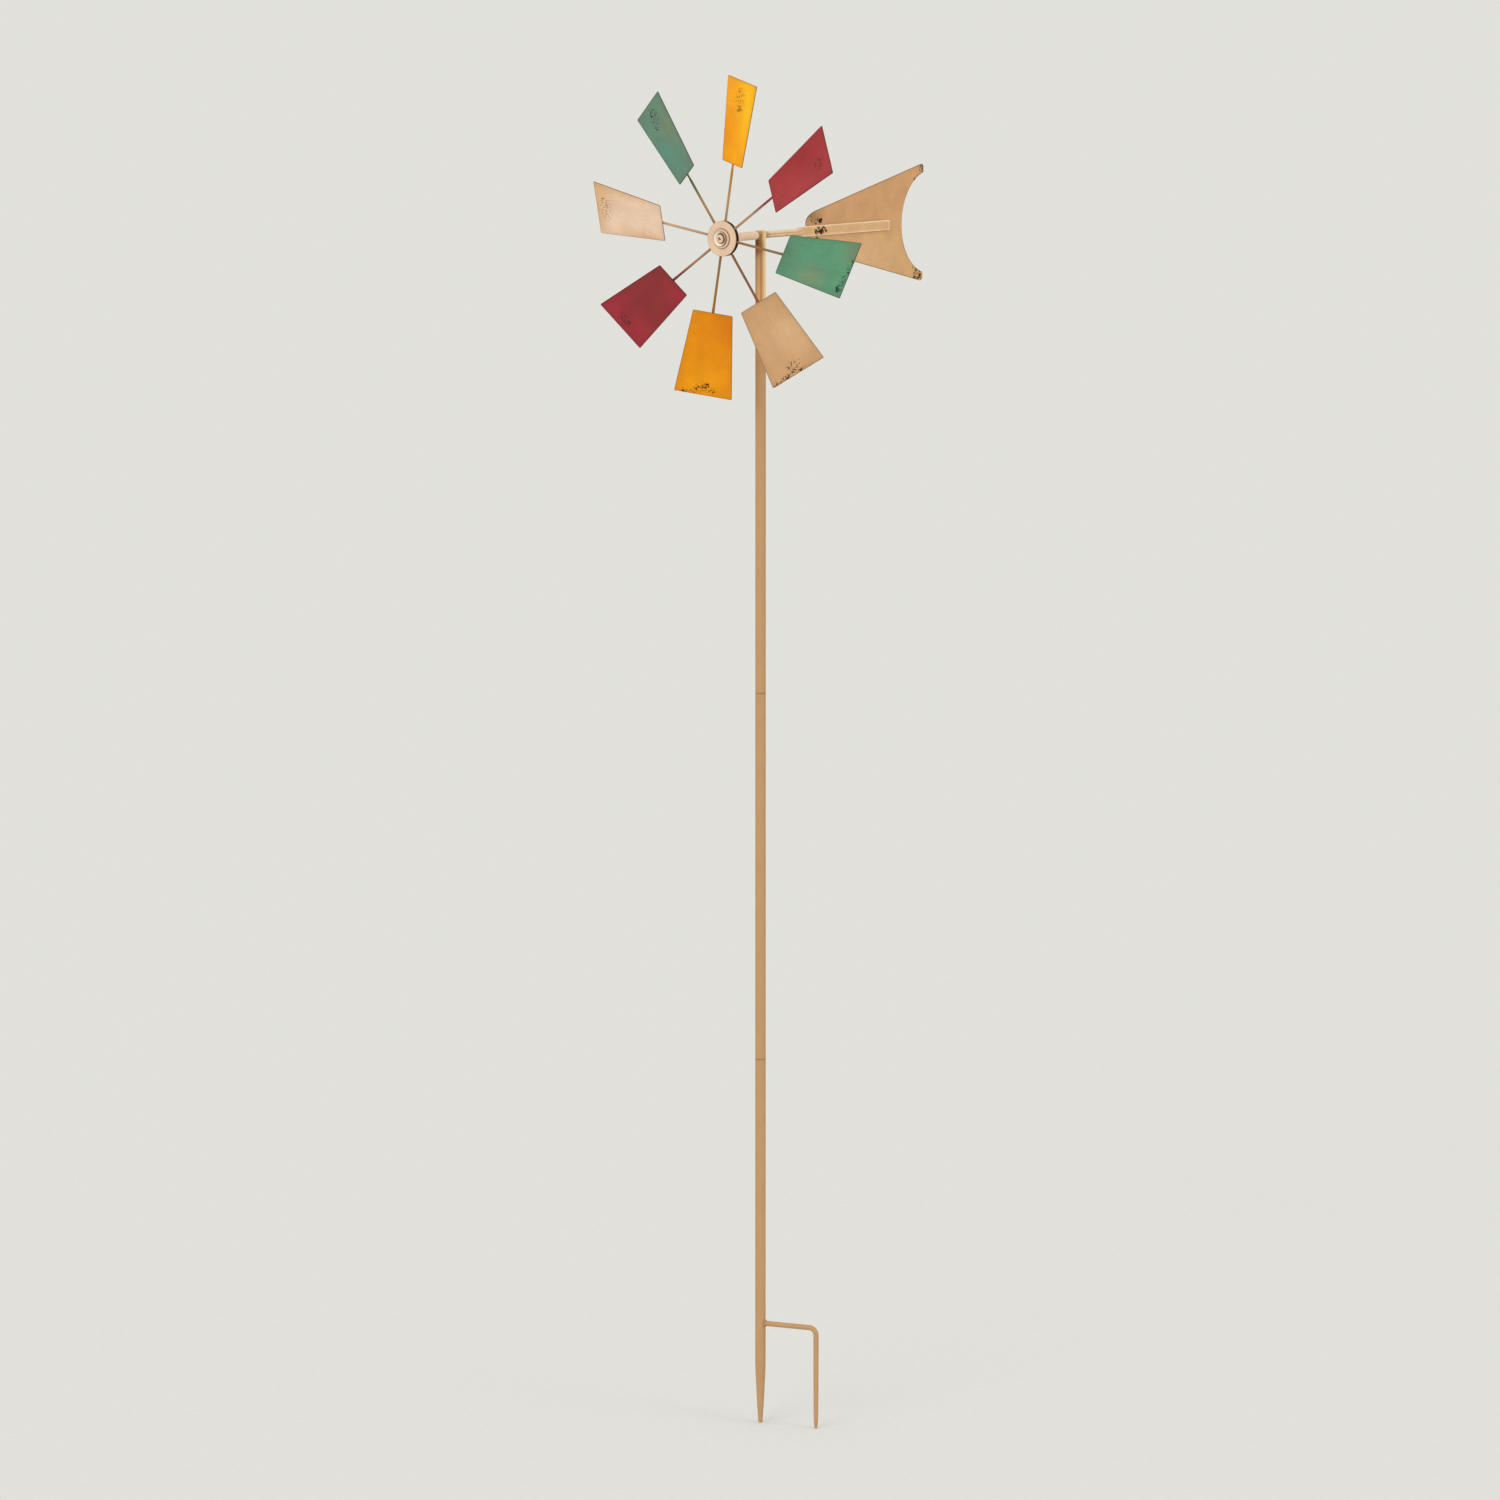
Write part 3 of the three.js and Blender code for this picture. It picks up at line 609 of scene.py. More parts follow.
def make(node, shape, body, slot, own=GROUND, paint="#808080", wash_and_shade=bare, wear=bare, finish=None):
    """The finished piece for a CAD node. Paint, wash and wear are functions of its points."""
    local, faces = shape
    placed, _ = moved(shape, own)
    name = PREFIXES.get(slot, "painted_") + node
    mesh = bpy.data.meshes.new(name)
    mesh.from_pydata((placed * MM).tolist(), [], faces)
    facing = bmesh.new()
    facing.from_mesh(mesh)
    bmesh.ops.recalc_face_normals(facing, faces=facing.faces)
    facing.to_mesh(mesh)
    facing.free()
    mesh.shade_smooth()
    mesh.set_sharp_from_angle(angle=SHARP_ANGLE)
    colour = paint(local) if callable(paint) else np.tile(linear(paint), (len(local), 1))
    layers = {
        "local": ("FLOAT_VECTOR", "vector", local),
        "paint": ("FLOAT_COLOR", "color", np.column_stack((colour, np.ones(len(local))))),
        "wash_and_shade": ("FLOAT", "value", within(wash_and_shade(local))),
        "wear": ("FLOAT", "value", within(wear(local))),
    }
    for layer, (kind, field, values) in layers.items():
        attribute = mesh.attributes.new(layer, kind, "POINT")
        attribute.data.foreach_set(field, np.asarray(values, np.float32).ravel())
    mesh.materials.append(FINISHES[finish or slot])
    piece = linked(name, mesh)
    weighted = piece.modifiers.new("flat faces", "WEIGHTED_NORMAL")
    weighted.keep_sharp = True
    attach(piece, body)
    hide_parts(node)


# ---- Stake ----

POLE_TAN = "#B99166"
POLE_SIDES = 64
TUBE_WALL = 1.2
TAPER_LENGTH = 85
END_EASE = 0.25
SEAM = 3  # how far from its end a tube's dark seam has faded
SEAM_WIDTH = 0.5
SOIL_REACH = 12
PRONG_LEG = 20  # a length of the prong, up from its tip, that is all leg


def soil(points, tip):
    """Bare and soiled metal near a point that goes into the ground."""
    return 0.4 * bell(points[:, 2] - tip, SOIL_REACH)


def seam_wash(ends):
    """The faint line of wash that gathers at the open ends of a tube."""
    def wash_and_shade(points):
        gap = np.min([np.abs(points[:, 2] - end) for end in ends], axis=0)
        return 0.2 * bell(gap, SEAM_WIDTH)
    return wash_and_shade


def smooth_taper(points, steps=5):
    """Points along a smooth curve through (radius, height) points."""
    found = []
    ends = [points[0], *points, points[-1]]
    for i in range(1, len(ends) - 2):
        a, b, c, d = (np.array(end) for end in ends[i - 1 : i + 3])
        for t in np.arange(steps) / steps:
            bend = (2 * a - 5 * b + 4 * c - d) * t**2 + (3 * b - a - 3 * c + d) * t**3
            found.append(tuple(b + 0.5 * ((c - a) * t + bend)))
    return found + [points[-1]]


def pole_sections():
    radius = extent("middle_pole")[1].x
    bore = radius - TUBE_WALL
    for node in ("middle_pole", "upper_pole"):
        low, high = extent(node)
        profile = eased([(bore, low.z), (radius, low.z, END_EASE), (radius, low.z + SEAM),
                         (radius, high.z - SEAM), (radius, high.z, END_EASE), (bore, high.z)], True)
        make(node, lathe(profile, POLE_SIDES, "Z"), "stake", "pole_tan", GROUND, POLE_TAN,
             seam_wash([low.z, high.z]))
    low, high = extent("lower_pole")
    tip = low.z
    taper = smooth_taper([(3.0, 0.8), (3.3, 4), (3.75, 12), (4.5, 22), (5.2, 33), (5.8, 46), (6.35, 58),
                          (6.95, 70), (radius, TAPER_LENGTH)])
    profile = [(r, tip + z) for r, z in [(0, 0), (1.9, 0.0), (2.7, 0.25), *taper]]
    profile += eased([(radius, tip + TAPER_LENGTH + 6), (radius, high.z - SEAM), (radius, high.z, END_EASE),
                      (bore, high.z)])
    profile += [(bore, tip + TAPER_LENGTH + TUBE_WALL), (0, tip + TAPER_LENGTH + TUBE_WALL)]
    make("lower_pole", lathe(profile, POLE_SIDES, "Z"), "stake", "pole_tan", GROUND, POLE_TAN,
         seam_wash([high.z]), lambda p: soil(p, tip))


PRONG_BEND = 10.5
BEND_LEAD = 6  # how far from the bend the straight parts' last rings lie
BAR_RADIUS = 3.75
WELD_OFF = 0.5  # how far a weld's path lies from the two faces that it joins


def side_prong():
    """The step bar and prong, one rod, in a frame of their own whose X runs along the bar."""
    leg = corners("side_prong")
    leg = leg[leg[:, 2] < leg[:, 2].min() + PRONG_LEG]
    foot = (leg.min(0) + leg.max(0)) / 2
    own = Matrix.Rotation(math.atan2(foot[1], foot[0]), 4, "Z")
    low, high = extent("side_prong", own)
    pole_radius = extent("middle_pole")[1].x
    bar_z = high.z - BAR_RADIUS
    reach = math.hypot(foot[0], foot[1])
    corner_x, corner_z = reach - PRONG_BEND, bar_z - PRONG_BEND
    rounds = (BAR_RADIUS, BAR_RADIUS)
    bar_run = np.linspace(pole_radius - 0.4, corner_x - BEND_LEAD, 12)
    stations = [((x, 0, bar_z), (1, 0, 0), rounds, 1) for x in bar_run]
    for turn in np.linspace(0, math.pi / 2, 17):
        out, down = math.sin(turn), math.cos(turn)
        centre = (corner_x + PRONG_BEND * out, 0, corner_z + PRONG_BEND * down)
        stations.append((centre, (down, 0, -out), rounds, 1))
    sizes = (0.5, 1.2, 1.75, 2.15, 2.6, 2.95, 3.3, 3.55, 3.7, BAR_RADIUS)
    heights = (0, 0.15, 0.9, 2.3, 5, 9, 16, 55, 90, 120)
    for height in [*np.linspace(corner_z - BEND_LEAD - low.z, 12, 18), *np.geomspace(9, 0.15, 14), 0]:
        size = float(np.interp(height, heights, sizes))
        stations.append(((reach, 0, low.z + height), (0, 0, -1), (size, size), 1))
    weld = [(x, y, bar_z + z) for x, y, z in saddle(pole_radius, BAR_RADIUS + WELD_OFF, WELD_OFF, 40)]
    shape = merged(rod(stations, (0, 1, 0)), bead(weld, 0.9, 3.0, closed=True))
    make("side_prong", shape, "stake", "pole_tan", own, POLE_TAN,
         lambda p: 0.25 * near(p, (pole_radius + 1, 0, bar_z), 4.5), lambda p: soil(p, low.z))


# ---- Head ----

CREAM = "#D2B18C"
BARREL_CREAM = "#E0C1A3"
SLEEVE_TAN = "#D6AC7A"
SLEEVE_SHADE = "#B27F4A"
SLEEVE_HIGHLIGHT = "#F5D6A6"
# The colour of painted shadow, under the barrel on the sleeve and along the boom's underside
SHADOW_BROWN = "#96592F"
SLEEVE_CAP = 2.4
SWIVEL_SIDES = 80
BARREL_WALL = 0.95
BARREL_WELD_RADIUS = 5.6
BARREL_WELD_OFF = 0.3

# Painted bands of shade and highlight down the sleeve, as if lit from the right: degrees round from
# its front, width, colour and share
SLEEVE_LIGHT_BANDS = [(42, 13, SLEEVE_SHADE, 1.0), (102, 28, SLEEVE_HIGHLIGHT, 1.0), (-32, 28, SLEEVE_SHADE, 0.9)]


def swivel_sleeve():
    low, high = extent("swivel_sleeve", HEAD)
    radius = high.x
    bore = radius - TUBE_WALL
    under_cap = high.z - SLEEVE_CAP
    profile = eased([(0, under_cap), (bore, under_cap), (bore, low.z), (radius, low.z, 0.5),
                     (radius, high.z, 1.4), (0, high.z)])
    front = [(y, -x, z) for x, y, z in saddle(radius, BARREL_WELD_RADIUS, BARREL_WELD_OFF, 36)]
    back = [(x, -y, z) for x, y, z in front]
    wall = lathe(with_rings(profile, 3.0), SWIVEL_SIDES, "Z")
    shape = merged(wall, bead(front, 0.9, 1.0, True), bead(back, 0.8, 2.0, True))

    def paint(points):
        turn = np.degrees(np.arctan2(points[:, 0], -points[:, 1]))
        # Bands of painted shade and painted highlight round the sleeve
        bands = [(tone, share * bell(turn - at, width)) for at, width, tone, share in SLEEVE_LIGHT_BANDS]
        # A painted shadow on the sleeve's front, under the barrel
        barrel_shadow = 0.85 * patch(points, (-1, -radius, -17), (9, 11, 13))
        return coated(SLEEVE_TAN, *bands, (SHADOW_BROWN, barrel_shadow))

    def wash_and_shade(points):
        # Painted shade under the barrel and down the left side; the line at the foot is wash at the joint
        shade_under_barrel = 0.75 * near(points, (-2.5, -radius, -9), (7, 9, 9))
        shade_on_left = 0.55 * near(points, (-radius, -2, -24), (4, 6, 22))
        foot = 0.8 * bell(points[:, 2] - low.z, 0.8)
        return shade_under_barrel + shade_on_left + foot

    make("swivel_sleeve", shape, "head", "head_cream", HEAD, paint, wash_and_shade)


def bearing_barrel():
    low, high = extent("bearing_barrel", HEAD)
    radius, bore = high.x, high.x - BARREL_WALL
    profile = eased([(bore, low.y), (radius, low.y, 0.3), (radius, high.y, 0.5), (bore, high.y)], True)
    make("bearing_barrel", lathe(with_rings(profile)), "head", "head_cream", HEAD, BARREL_CREAM,
         lambda p: 0.8 * bell(p[:, 1] - high.y, 0.9) + 0.45 * bell(p[:, 1] - low.y, 1.2))


BOOM_RADIUS = 4.75
BOOM_MOUTH = 8.5  # how far from the stake's axis wash gathers where the boom enters the sleeve
CRUSH_FROM = 78
CRUSH_TO = 106
CRUSH_HALF = (1.6, 7.3)
CRUSH_POWER = 0.4
RIBBON_FADE = 25  # the length over which the boom's paint turns into the crushed ribbon's
RIBBON_CHIP = ((2, 141, 0), (8, 19, 8))
# Painted light on the boom: a lighter top, lines of highlight, a band of shade, highlit ribbon edges
BOOM_TOP_HIGHLIGHT = "#E2C4A2"
BOOM_SHADE_BAND = "#BE935F"
BOOM_GLOW = "#EDD0A4"
RIBBON_TAN = "#D8AC7C"
RIBBON_EDGE_HIGHLIGHT = "#F0D6B2"


def boom_tube():
    low, high = extent("boom_tube", TAIL)
    stations = [((0, y, 0), (0, 1, 0), (BOOM_RADIUS, BOOM_RADIUS), 1.0)
                for y in (low.y, low.y + 0.3, -9.5, -BOOM_MOUTH, -7, 0, 7, BOOM_MOUTH, 9.5, 20, 35, 50, 65)]
    for share in np.linspace(0, 1, 15):
        y = CRUSH_FROM + (CRUSH_TO - CRUSH_FROM) * share
        stations.append(((0, y, 0), (0, 1, 0), *pressed(BOOM_RADIUS, CRUSH_HALF, CRUSH_POWER, share)))
    for y in [*np.linspace(CRUSH_TO + 4, high.y - 4, 44), high.y - 2.6, high.y - 1.4]:
        stations.append(((0, y, 0), (0, 1, 0), CRUSH_HALF, CRUSH_POWER))
    for back_off, share in ((0.6, 0.985), (0.2, 0.95), (0.0, 0.88)):
        half = (CRUSH_HALF[0] * share, CRUSH_HALF[1] - CRUSH_HALF[0] * (1 - share))
        stations.append(((0, high.y - back_off, 0), (0, 1, 0), half, CRUSH_POWER))

    def paint(points):
        flat = within((points[:, 1] - CRUSH_FROM) / RIBBON_FADE)
        height = points[:, 2] / BOOM_RADIUS
        # Painted highlight along the crushed ribbon's edges and end
        rim = bell(np.abs(points[:, 2]) - CRUSH_HALF[1], 1.6) + bell(points[:, 1] - high.y, 1.8)
        # Painted light: a lighter top, two lines of highlight, a band of shade and a shadow on the
        # underside
        return coated(CREAM, (BOOM_TOP_HIGHLIGHT, within(height)), (BOOM_SHADE_BAND, 0.8 * bell(height - 0.1, 0.16)),
                      (SHADOW_BROWN, 0.75 * bell(height + 1.0, 0.3)),
                      (BOOM_GLOW, 0.8 * bell(height + 0.3, 0.18) + 0.7 * bell(height - 0.8, 0.25)),
                      (RIBBON_TAN, flat), (RIBBON_EDGE_HIGHLIGHT, within(rim) * flat))

    make("boom_tube", rod(stations, (1, 0, 0), 64, waist=0.42), "head", "head_cream", TAIL, paint,
         lambda p: 0.65 * bell(np.abs(p[:, 1]) - BOOM_MOUTH, 1.6), lambda p: patch(p, *RIBBON_CHIP))


VANE_FRONT_HALF = 23
VANE_FRONT_ROUND = 26
VANE_FRONT_FLAT = 11
VANE_TIP_HALF = 85.5
VANE_TIP_ROUND = 7
VANE_TIP_WIDTH = 13
VANE_NOTCH_Y = 344
VANE_NOTCH_RADIUS = 76
VANE_WELDS = ((116, 146), (250, 276))  # where the boom's ribbon is welded on, from and to
VANE_SPACING = 5.0
VANE_WAVES = ((0.5, 70, 60, 4.0), (0.12, 17, 17, 9.0))
VANE_TAN = "#D2A571"
VANE_SHADE = "#CC9B6B"
VANE_GLOW = "#DAB487"


def vane_outline(front, tip):
    """The fish tail, as (y, z) points: a rounded front, spreading edges, and a round notch behind."""
    slope = (VANE_TIP_HALF - VANE_FRONT_HALF) / (tip - front)

    def edge(y):
        return (y, VANE_FRONT_HALF + (y - front) * slope)

    notch_half = VANE_TIP_HALF - VANE_TIP_WIDTH
    notch_turn = math.asin(notch_half / VANE_NOTCH_RADIUS)
    notch_centre = VANE_NOTCH_Y + VANE_NOTCH_RADIUS
    notch_end = notch_centre - VANE_NOTCH_RADIUS * math.cos(notch_turn)
    tip_end = (tip + 1, VANE_TIP_HALF - VANE_TIP_ROUND + 1)
    half = stepped((front, 0), (front, VANE_FRONT_FLAT))
    half += curve((front, VANE_FRONT_FLAT), edge(front), edge(front + VANE_FRONT_ROUND), 14)
    half += stepped(edge(front + VANE_FRONT_ROUND), edge(tip - VANE_TIP_ROUND))
    half += curve(edge(tip - VANE_TIP_ROUND), (tip, VANE_TIP_HALF), tip_end)
    half += curve(tip_end, (tip + 1, notch_half + 3), (notch_end, notch_half))
    for turn in np.linspace(notch_turn, 0, 40):
        half.append((notch_centre - VANE_NOTCH_RADIUS * math.cos(turn), VANE_NOTCH_RADIUS * math.sin(turn)))
    return half + [(y, -z) for y, z in reversed(half[1:-1])]


# The vane is drawn with its X along the boom, Z up, and Y towards the side that carries the boom
VANE = TAIL @ Matrix(((0, 1, 0, 0), (1, 0, 0, 0), (0, 0, 1, 0), (0, 0, 0, 1)))


def tail_vane():
    low, high = extent("tail_vane", VANE)
    outline = np.array(vane_outline(low.x, high.x - 1))

    welds = []
    for start, end in VANE_WELDS:
        for side in (1, -1):
            path = [(x, high.y + 0.35, side * (CRUSH_HALF[1] + 0.1)) for x in np.linspace(start, end, 22)]
            welds.append(bead(path, 0.6, 5.0 + len(welds)))

    def paint(points):
        x, z = points[:, 0], points[:, 2]
        # Painted shadow beside the ribbon; the vane is also darker towards the top
        ribbon_shadow = bell(np.abs(z) - CRUSH_HALF[1] - 1.0, 2.0) * (x < extent("boom_tube", TAIL)[1].y + 2)
        glow = 0.5 * near(points, (255, 0, -40), (60, 50, 26))
        return coated(VANE_TAN, (VANE_SHADE, within(z / 50 + 0.5)), (VANE_GLOW, glow), (VANE_SHADE, ribbon_shadow))

    def wash_and_shade(points):
        rim = 0.8 * bell(distance_to_outline(points[:, [0, 2]], outline), 0.8)
        front = 0.45 * near(points, (128, 0, 20), (18, 50, 9))
        return rim + front

    def wear(points):
        tips = 0.92 * patch(points, (393, 0, 76), (9, 50, 17))
        tips += 0.86 * patch(points, (386, 0, -74), (18, 50, 14))
        front = patch(points, (142, 0, 13), (12, 50, 6)) + patch(points, (138, 0, -13), (7, 50, 7))
        flecks = patch(points, (380, 0, 60), (7, 50, 12)) + patch(points, (374, 0, -70), (12, 50, 10))
        flecks += patch(points, (128, 0, 14), (10, 50, 12))
        return np.maximum(tips + 0.95 * front, 0.66 * flecks)

    shape = merged(sheet(outline, low.y, high.y, VANE_SPACING, VANE_WAVES), *welds)
    make("tail_vane", shape, "head", "vane_tan", VANE, paint, wash_and_shade, wear)


# ---- Rotor ----


def arm_frame(blade):
    """A blade's own frame: X across it, Y through it towards the back, Z out along its spoke."""
    mesh = frame["nodes"][blade].data
    face = max(mesh.polygons, key=lambda p: p.area)
    through = Vector(face.normal) if face.normal.y > 0 else -Vector(face.normal)
    middle = Vector(corners(blade).mean(0)) - hub
    out = (middle - through * middle.dot(through)).normalized()
    axes = Matrix((through.cross(out), through, out)).transposed()
    return HUB @ axes.to_4x4()


BLADE_INNER_HALF = 28.7
BLADE_CORNER = 2.0
BLADE_SPACING = 4.5
BACK_WEAR = 0.8  # how much of a blade's wear shows on its back


def blade_outline(low, high):
    """A trapezoid with small round corners, as (x, z) points."""
    places = ((-BLADE_INNER_HALF, low.z), (BLADE_INNER_HALF, low.z), (high.x, high.z), (low.x, high.z))
    edge = eased([(x, z, BLADE_CORNER) for x, z in places], True, 6)
    return [point for one, two in zip(edge, edge[1:]) for point in stepped(one, two)]


# The blades' looks, clockwise from the top as seen from the front. A place is (across, out): across runs
# from -1 to 1 clockwise, and out from 0 at the inner edge to 1 at the outer edge. Tints are (colour,
# place, radius) and chips are (place, radius, depth). A radius may be three, one along each axis of the
# blade's frame, and depth is how much paint has gone. A rod's colours are near the hub and near the blade.
BLADES = [
    dict(colour="yellow", paint="#F7A500", rod=("#AE8A60", "#B07828"),
         tints=[("#FFBC00", (0.6, 0.7), (26, 9, 44)), ("#F09600", (-0.7, 0.35), (26, 9, 40))],
         chips=[((0.02, 0.66), (11, 9, 7), 0.8), ((-0.04, 0.79), (24, 9, 17), 0.6)]),
    dict(colour="red", paint="#A0383A", rod=("#B08C68", "#8A3B36"),
         tints=[("#932C30", (-0.6, 0.6), 36), ("#A63A3F", (0.7, 0.4), 32)],
         chips=[((0.27, 0.82), (17, 9, 14), 0.63)]),
    dict(colour="green", paint="#568D6C", rod=("#94683F", "#80664A"),
         tints=[("#728868", (0.6, 0.5), (14, 9, 22)), ("#6E8465", (-0.75, 0.96), 17),
                ("#557A5F", (0.0, 0.0), 22)],
         chips=[((0.72, 0.93), (8, 9, 7), 0.92), ((0.4, 0.95), (12, 9, 8), 0.76),
                ((0.0, 0.97), (13, 9, 5), 0.75), ((-0.35, 0.98), (9, 9, 5), 0.7)]),
    dict(colour="beige", paint="#BF9467", rod=("#7E5430", "#7E5230"),
         tints=[("#CAA377", (-0.5, 0.5), 30)],
         chips=[((0.75, 0.99), (11, 9, 4), 0.86), ((0.4, 0.97), (12, 9, 6), 0.79),
                ((0.05, 0.93), (12, 9, 8), 0.8), ((-0.35, 0.97), (14, 9, 5), 0.76),
                ((0.0, 0.87), (18, 9, 7), 0.67)]),
    dict(colour="yellow", paint="#DC8700", rod=("#93693F", "#96621E"),
         tints=[("#D37800", (-0.8, 0.1), 26), ("#E69500", (0.0, 0.9), 34)],
         chips=[((0.2, 0.94), (11, 9, 7), 0.78), ((0.35, 0.97), (16, 9, 5), 0.72),
                ((-0.1, 0.89), (12, 9, 10), 0.72), ((-0.33, 0.93), (9, 9, 8), 0.7),
                ((0.62, 0.985), 6, 0.84)]),
    dict(colour="red", paint="#8A3032", rod=("#A87E5C", "#7E3A32"),
         tints=[("#9D2F39", (0.8, 0.9), 28), ("#9D2F39", (-0.8, 0.9), 28), ("#9D2F39", (-0.8, 0.1), 22)],
         chips=[((-0.05, 0.88), (26, 9, 11), 0.56)]),
    dict(colour="beige", finish="beige_stipple", paint="#EBCBAF", rod=("#B69470", "#C09A74"),
         tints=[("#DEAE7E", (0.85, 0.95), 28), ("#E2BA92", (1.0, 0.45), (10, 9, 40)),
                ("#E2BA92", (-1.0, 0.3), (9, 9, 50)), ("#DEB285", (0.0, 1.0), (40, 9, 12))],
         chips=[((-0.02, 0.87), (25, 9, 16), 0.66)]),
    dict(colour="green", paint="#628671", rod=("#A07A54", "#525A3A"),
         tints=[("#598B77", (-0.4, 0.4), 26), ("#6F8569", (0.5, 0.6), 26)],
         chips=[((-0.05, 0.83), (21, 9, 16), 0.64), ((-0.25, 0.71), (6, 9, 7), 0.76)]),
]


def blade_piece(node, look, arm, number):
    low, high = extent(node, arm)
    length = high.z - low.z
    outline = np.array(blade_outline(low, high))

    def spot(place):
        half = BLADE_INNER_HALF + (high.x - BLADE_INNER_HALF) * place[1]
        return (place[0] * half, low.y, low.z + place[1] * length)

    def paint(points):
        tints = [(tint, near(points, spot(place), radius)) for tint, place, radius in look["tints"]]
        return coated(look["paint"], *tints)

    def wash_and_shade(points):
        gap = distance_to_outline(points[:, [0, 2]], outline)
        return 0.85 * bell(gap, 0.65) + 0.12 * bell(gap, 4.0)

    def wear(points):
        chips = [depth * patch(points, spot(place), radius) for place, radius, depth in look["chips"]]
        gone = np.max(chips, axis=0)
        return gone * np.where(points[:, 1] < (low.y + high.y) / 2, 1, BACK_WEAR)

    waves = ((0.22, 40, 45, number * 3.7), (0.05, 11, 11, number))
    shape = sheet(outline, low.y, high.y, BLADE_SPACING, waves)
    make(node, shape, "rotor", look["colour"] + "_paint", arm, paint, wash_and_shade, wear, look.get("finish"))
    return low.z


SPOKE_CRUSH_LEAD = 2.8
SPOKE_CRUSH = 8
SPOKE_POWER = 0.6
SPOKE_HALF_THICK = 0.6
SPOKE_END = 1.2  # the length over which its flat end is rounded off
SPOKE_WELD = (8, 26)  # from the blade's inner edge
ROD_FADE_FROM = 55
ROD_FADE = 40


def spoke_piece(node, look, arm, blade_start, number):
    """A round rod, crushed flat where it lies behind its blade, with a weld down each side."""
    low, high = extent(node, arm)
    radius = high.y
    crush = blade_start - SPOKE_CRUSH_LEAD - SPOKE_CRUSH
    flat = (high.x, SPOKE_HALF_THICK)
    stations = [((0, 0, z), (0, 0, 1), (radius, radius), 1.0) for z in np.linspace(low.z, crush, 20)]
    for share in np.linspace(0.12, 1, 8):
        section = pressed(radius, flat, SPOKE_POWER, share)
        stations.append(((0, 0, crush + SPOKE_CRUSH * share), (0, 0, 1), *section))
    for z in np.linspace(crush + SPOKE_CRUSH + 4, high.z - SPOKE_END, 10):
        stations.append(((0, 0, z), (0, 0, 1), flat, SPOKE_POWER))
    for turn in np.linspace(0.3, 1.45, 5):
        half = (flat[0] * math.cos(turn) ** 0.5, flat[1] * math.cos(turn) ** 0.25)
        z = high.z - SPOKE_END + SPOKE_END * math.sin(turn)
        stations.append(((0, 0, z), (0, 0, 1), half, SPOKE_POWER))
    shape = [rod(stations, (1, 0, 0), 24)]
    for side in (1, -1):
        path = [(side * (flat[0] + 0.1), -0.45, blade_start + z) for z in np.linspace(*SPOKE_WELD, 20)]
        shape.append(bead(path, 0.62, number + side))
    root = [(math.cos(a) * (radius + 0.1), math.sin(a) * (radius + 0.1), low.z + 0.3)
            for a in np.linspace(0, 2 * math.pi, 20, endpoint=False)]
    shape.append(bead(root, 0.6, number * 2.0, True))

    def paint(points):
        near_hub, near_blade = look["rod"]
        return coated(near_hub, (near_blade, smooth(within((points[:, 2] - ROD_FADE_FROM) / ROD_FADE))),
                      (look["paint"], within((points[:, 2] - blade_start - 2) / 6)))

    # Painted shade near the hub, in the gap between the discs, and a little wash at the blade's edge
    make(node, merged(*shape), "rotor", look["colour"] + "_paint", arm, paint,
         lambda p: 0.8 * bell(p[:, 2] - low.z, 15) + 0.25 * bell(p[:, 2] - blade_start, 3))


def arms():
    made = {}
    for number, look in enumerate(BLADES):
        colour = look["colour"]
        made[colour] = made.get(colour, 0) + 1
        blade, spoke = (f"{colour}_{piece}_{made[colour]}" for piece in ("blade", "spoke"))
        arm = arm_frame(blade)
        blade_start = blade_piece(blade, look, arm, number)
        spoke_piece(spoke, look, arm, blade_start, number)


HUB_CREAM = "#DFBFA3"
CUP_CREAM = "#E6CBAC"
CUP_GLOW = "#FBEEDC"
HUB_GAP_SHADE = "#4A2C18"
HUB_BORE = 3.8
SCREW_BORE = 2.8
DISC_LINE = 14.3  # the radius of a faint dark line round a disc's face


def radius_of(points):
    return np.hypot(points[:, 0], points[:, 2])


def hub_disc(node, front_one, rim_wash_and_shade):
    """A disc that clamps the spokes, whose inner face is painted near-black as shade in the discs' gap."""
    radius, front, back = turned_extent(node)
    inner = back if front_one else front

    def wash_and_shade(points):
        rim = bell(radius_of(points) - radius, 0.8) * rim_wash_and_shade
        return bell(points[:, 1] - inner, 0.5) + rim + 0.6 * bell(radius_of(points) - DISC_LINE, 0.5)

    def paint(points):
        return blend(HUB_CREAM, HUB_GAP_SHADE, bell(points[:, 1] - inner, 0.5))

    disc = lathe(with_rings(ring_section(HUB_BORE, radius, front, back, 0.45, 0.2)))
    make(node, disc, "rotor", "head_cream", HUB, paint, wash_and_shade)


def hub_core():
    radius, front, back = turned_extent("hub_core")
    # The core between the discs is painted dark all over, as painted shade in the gap
    make("hub_core", lathe(ring_section(HUB_BORE, radius, front, back, 0.3, 0.2)), "rotor", "head_cream",
         HUB, HUB_GAP_SHADE, lambda p: np.full(len(p), 0.9))


WASHER_STEP = 9.4  # the radius where wash has gathered round the cup
CUP_GUTTER = 7.4  # the radius of the dark ring in the cup, at its least
# How much further out the dark ring reaches on the right, as painted shade
CUP_GUTTER_SPREAD = 1.9
CUP_FLOOR_RADIUS = 7.0
CUP_FLOOR_THICK = 1.0
# The turn of the side that gets the painted highlight
CUP_HIGHLIGHT_TURN = math.radians(25)


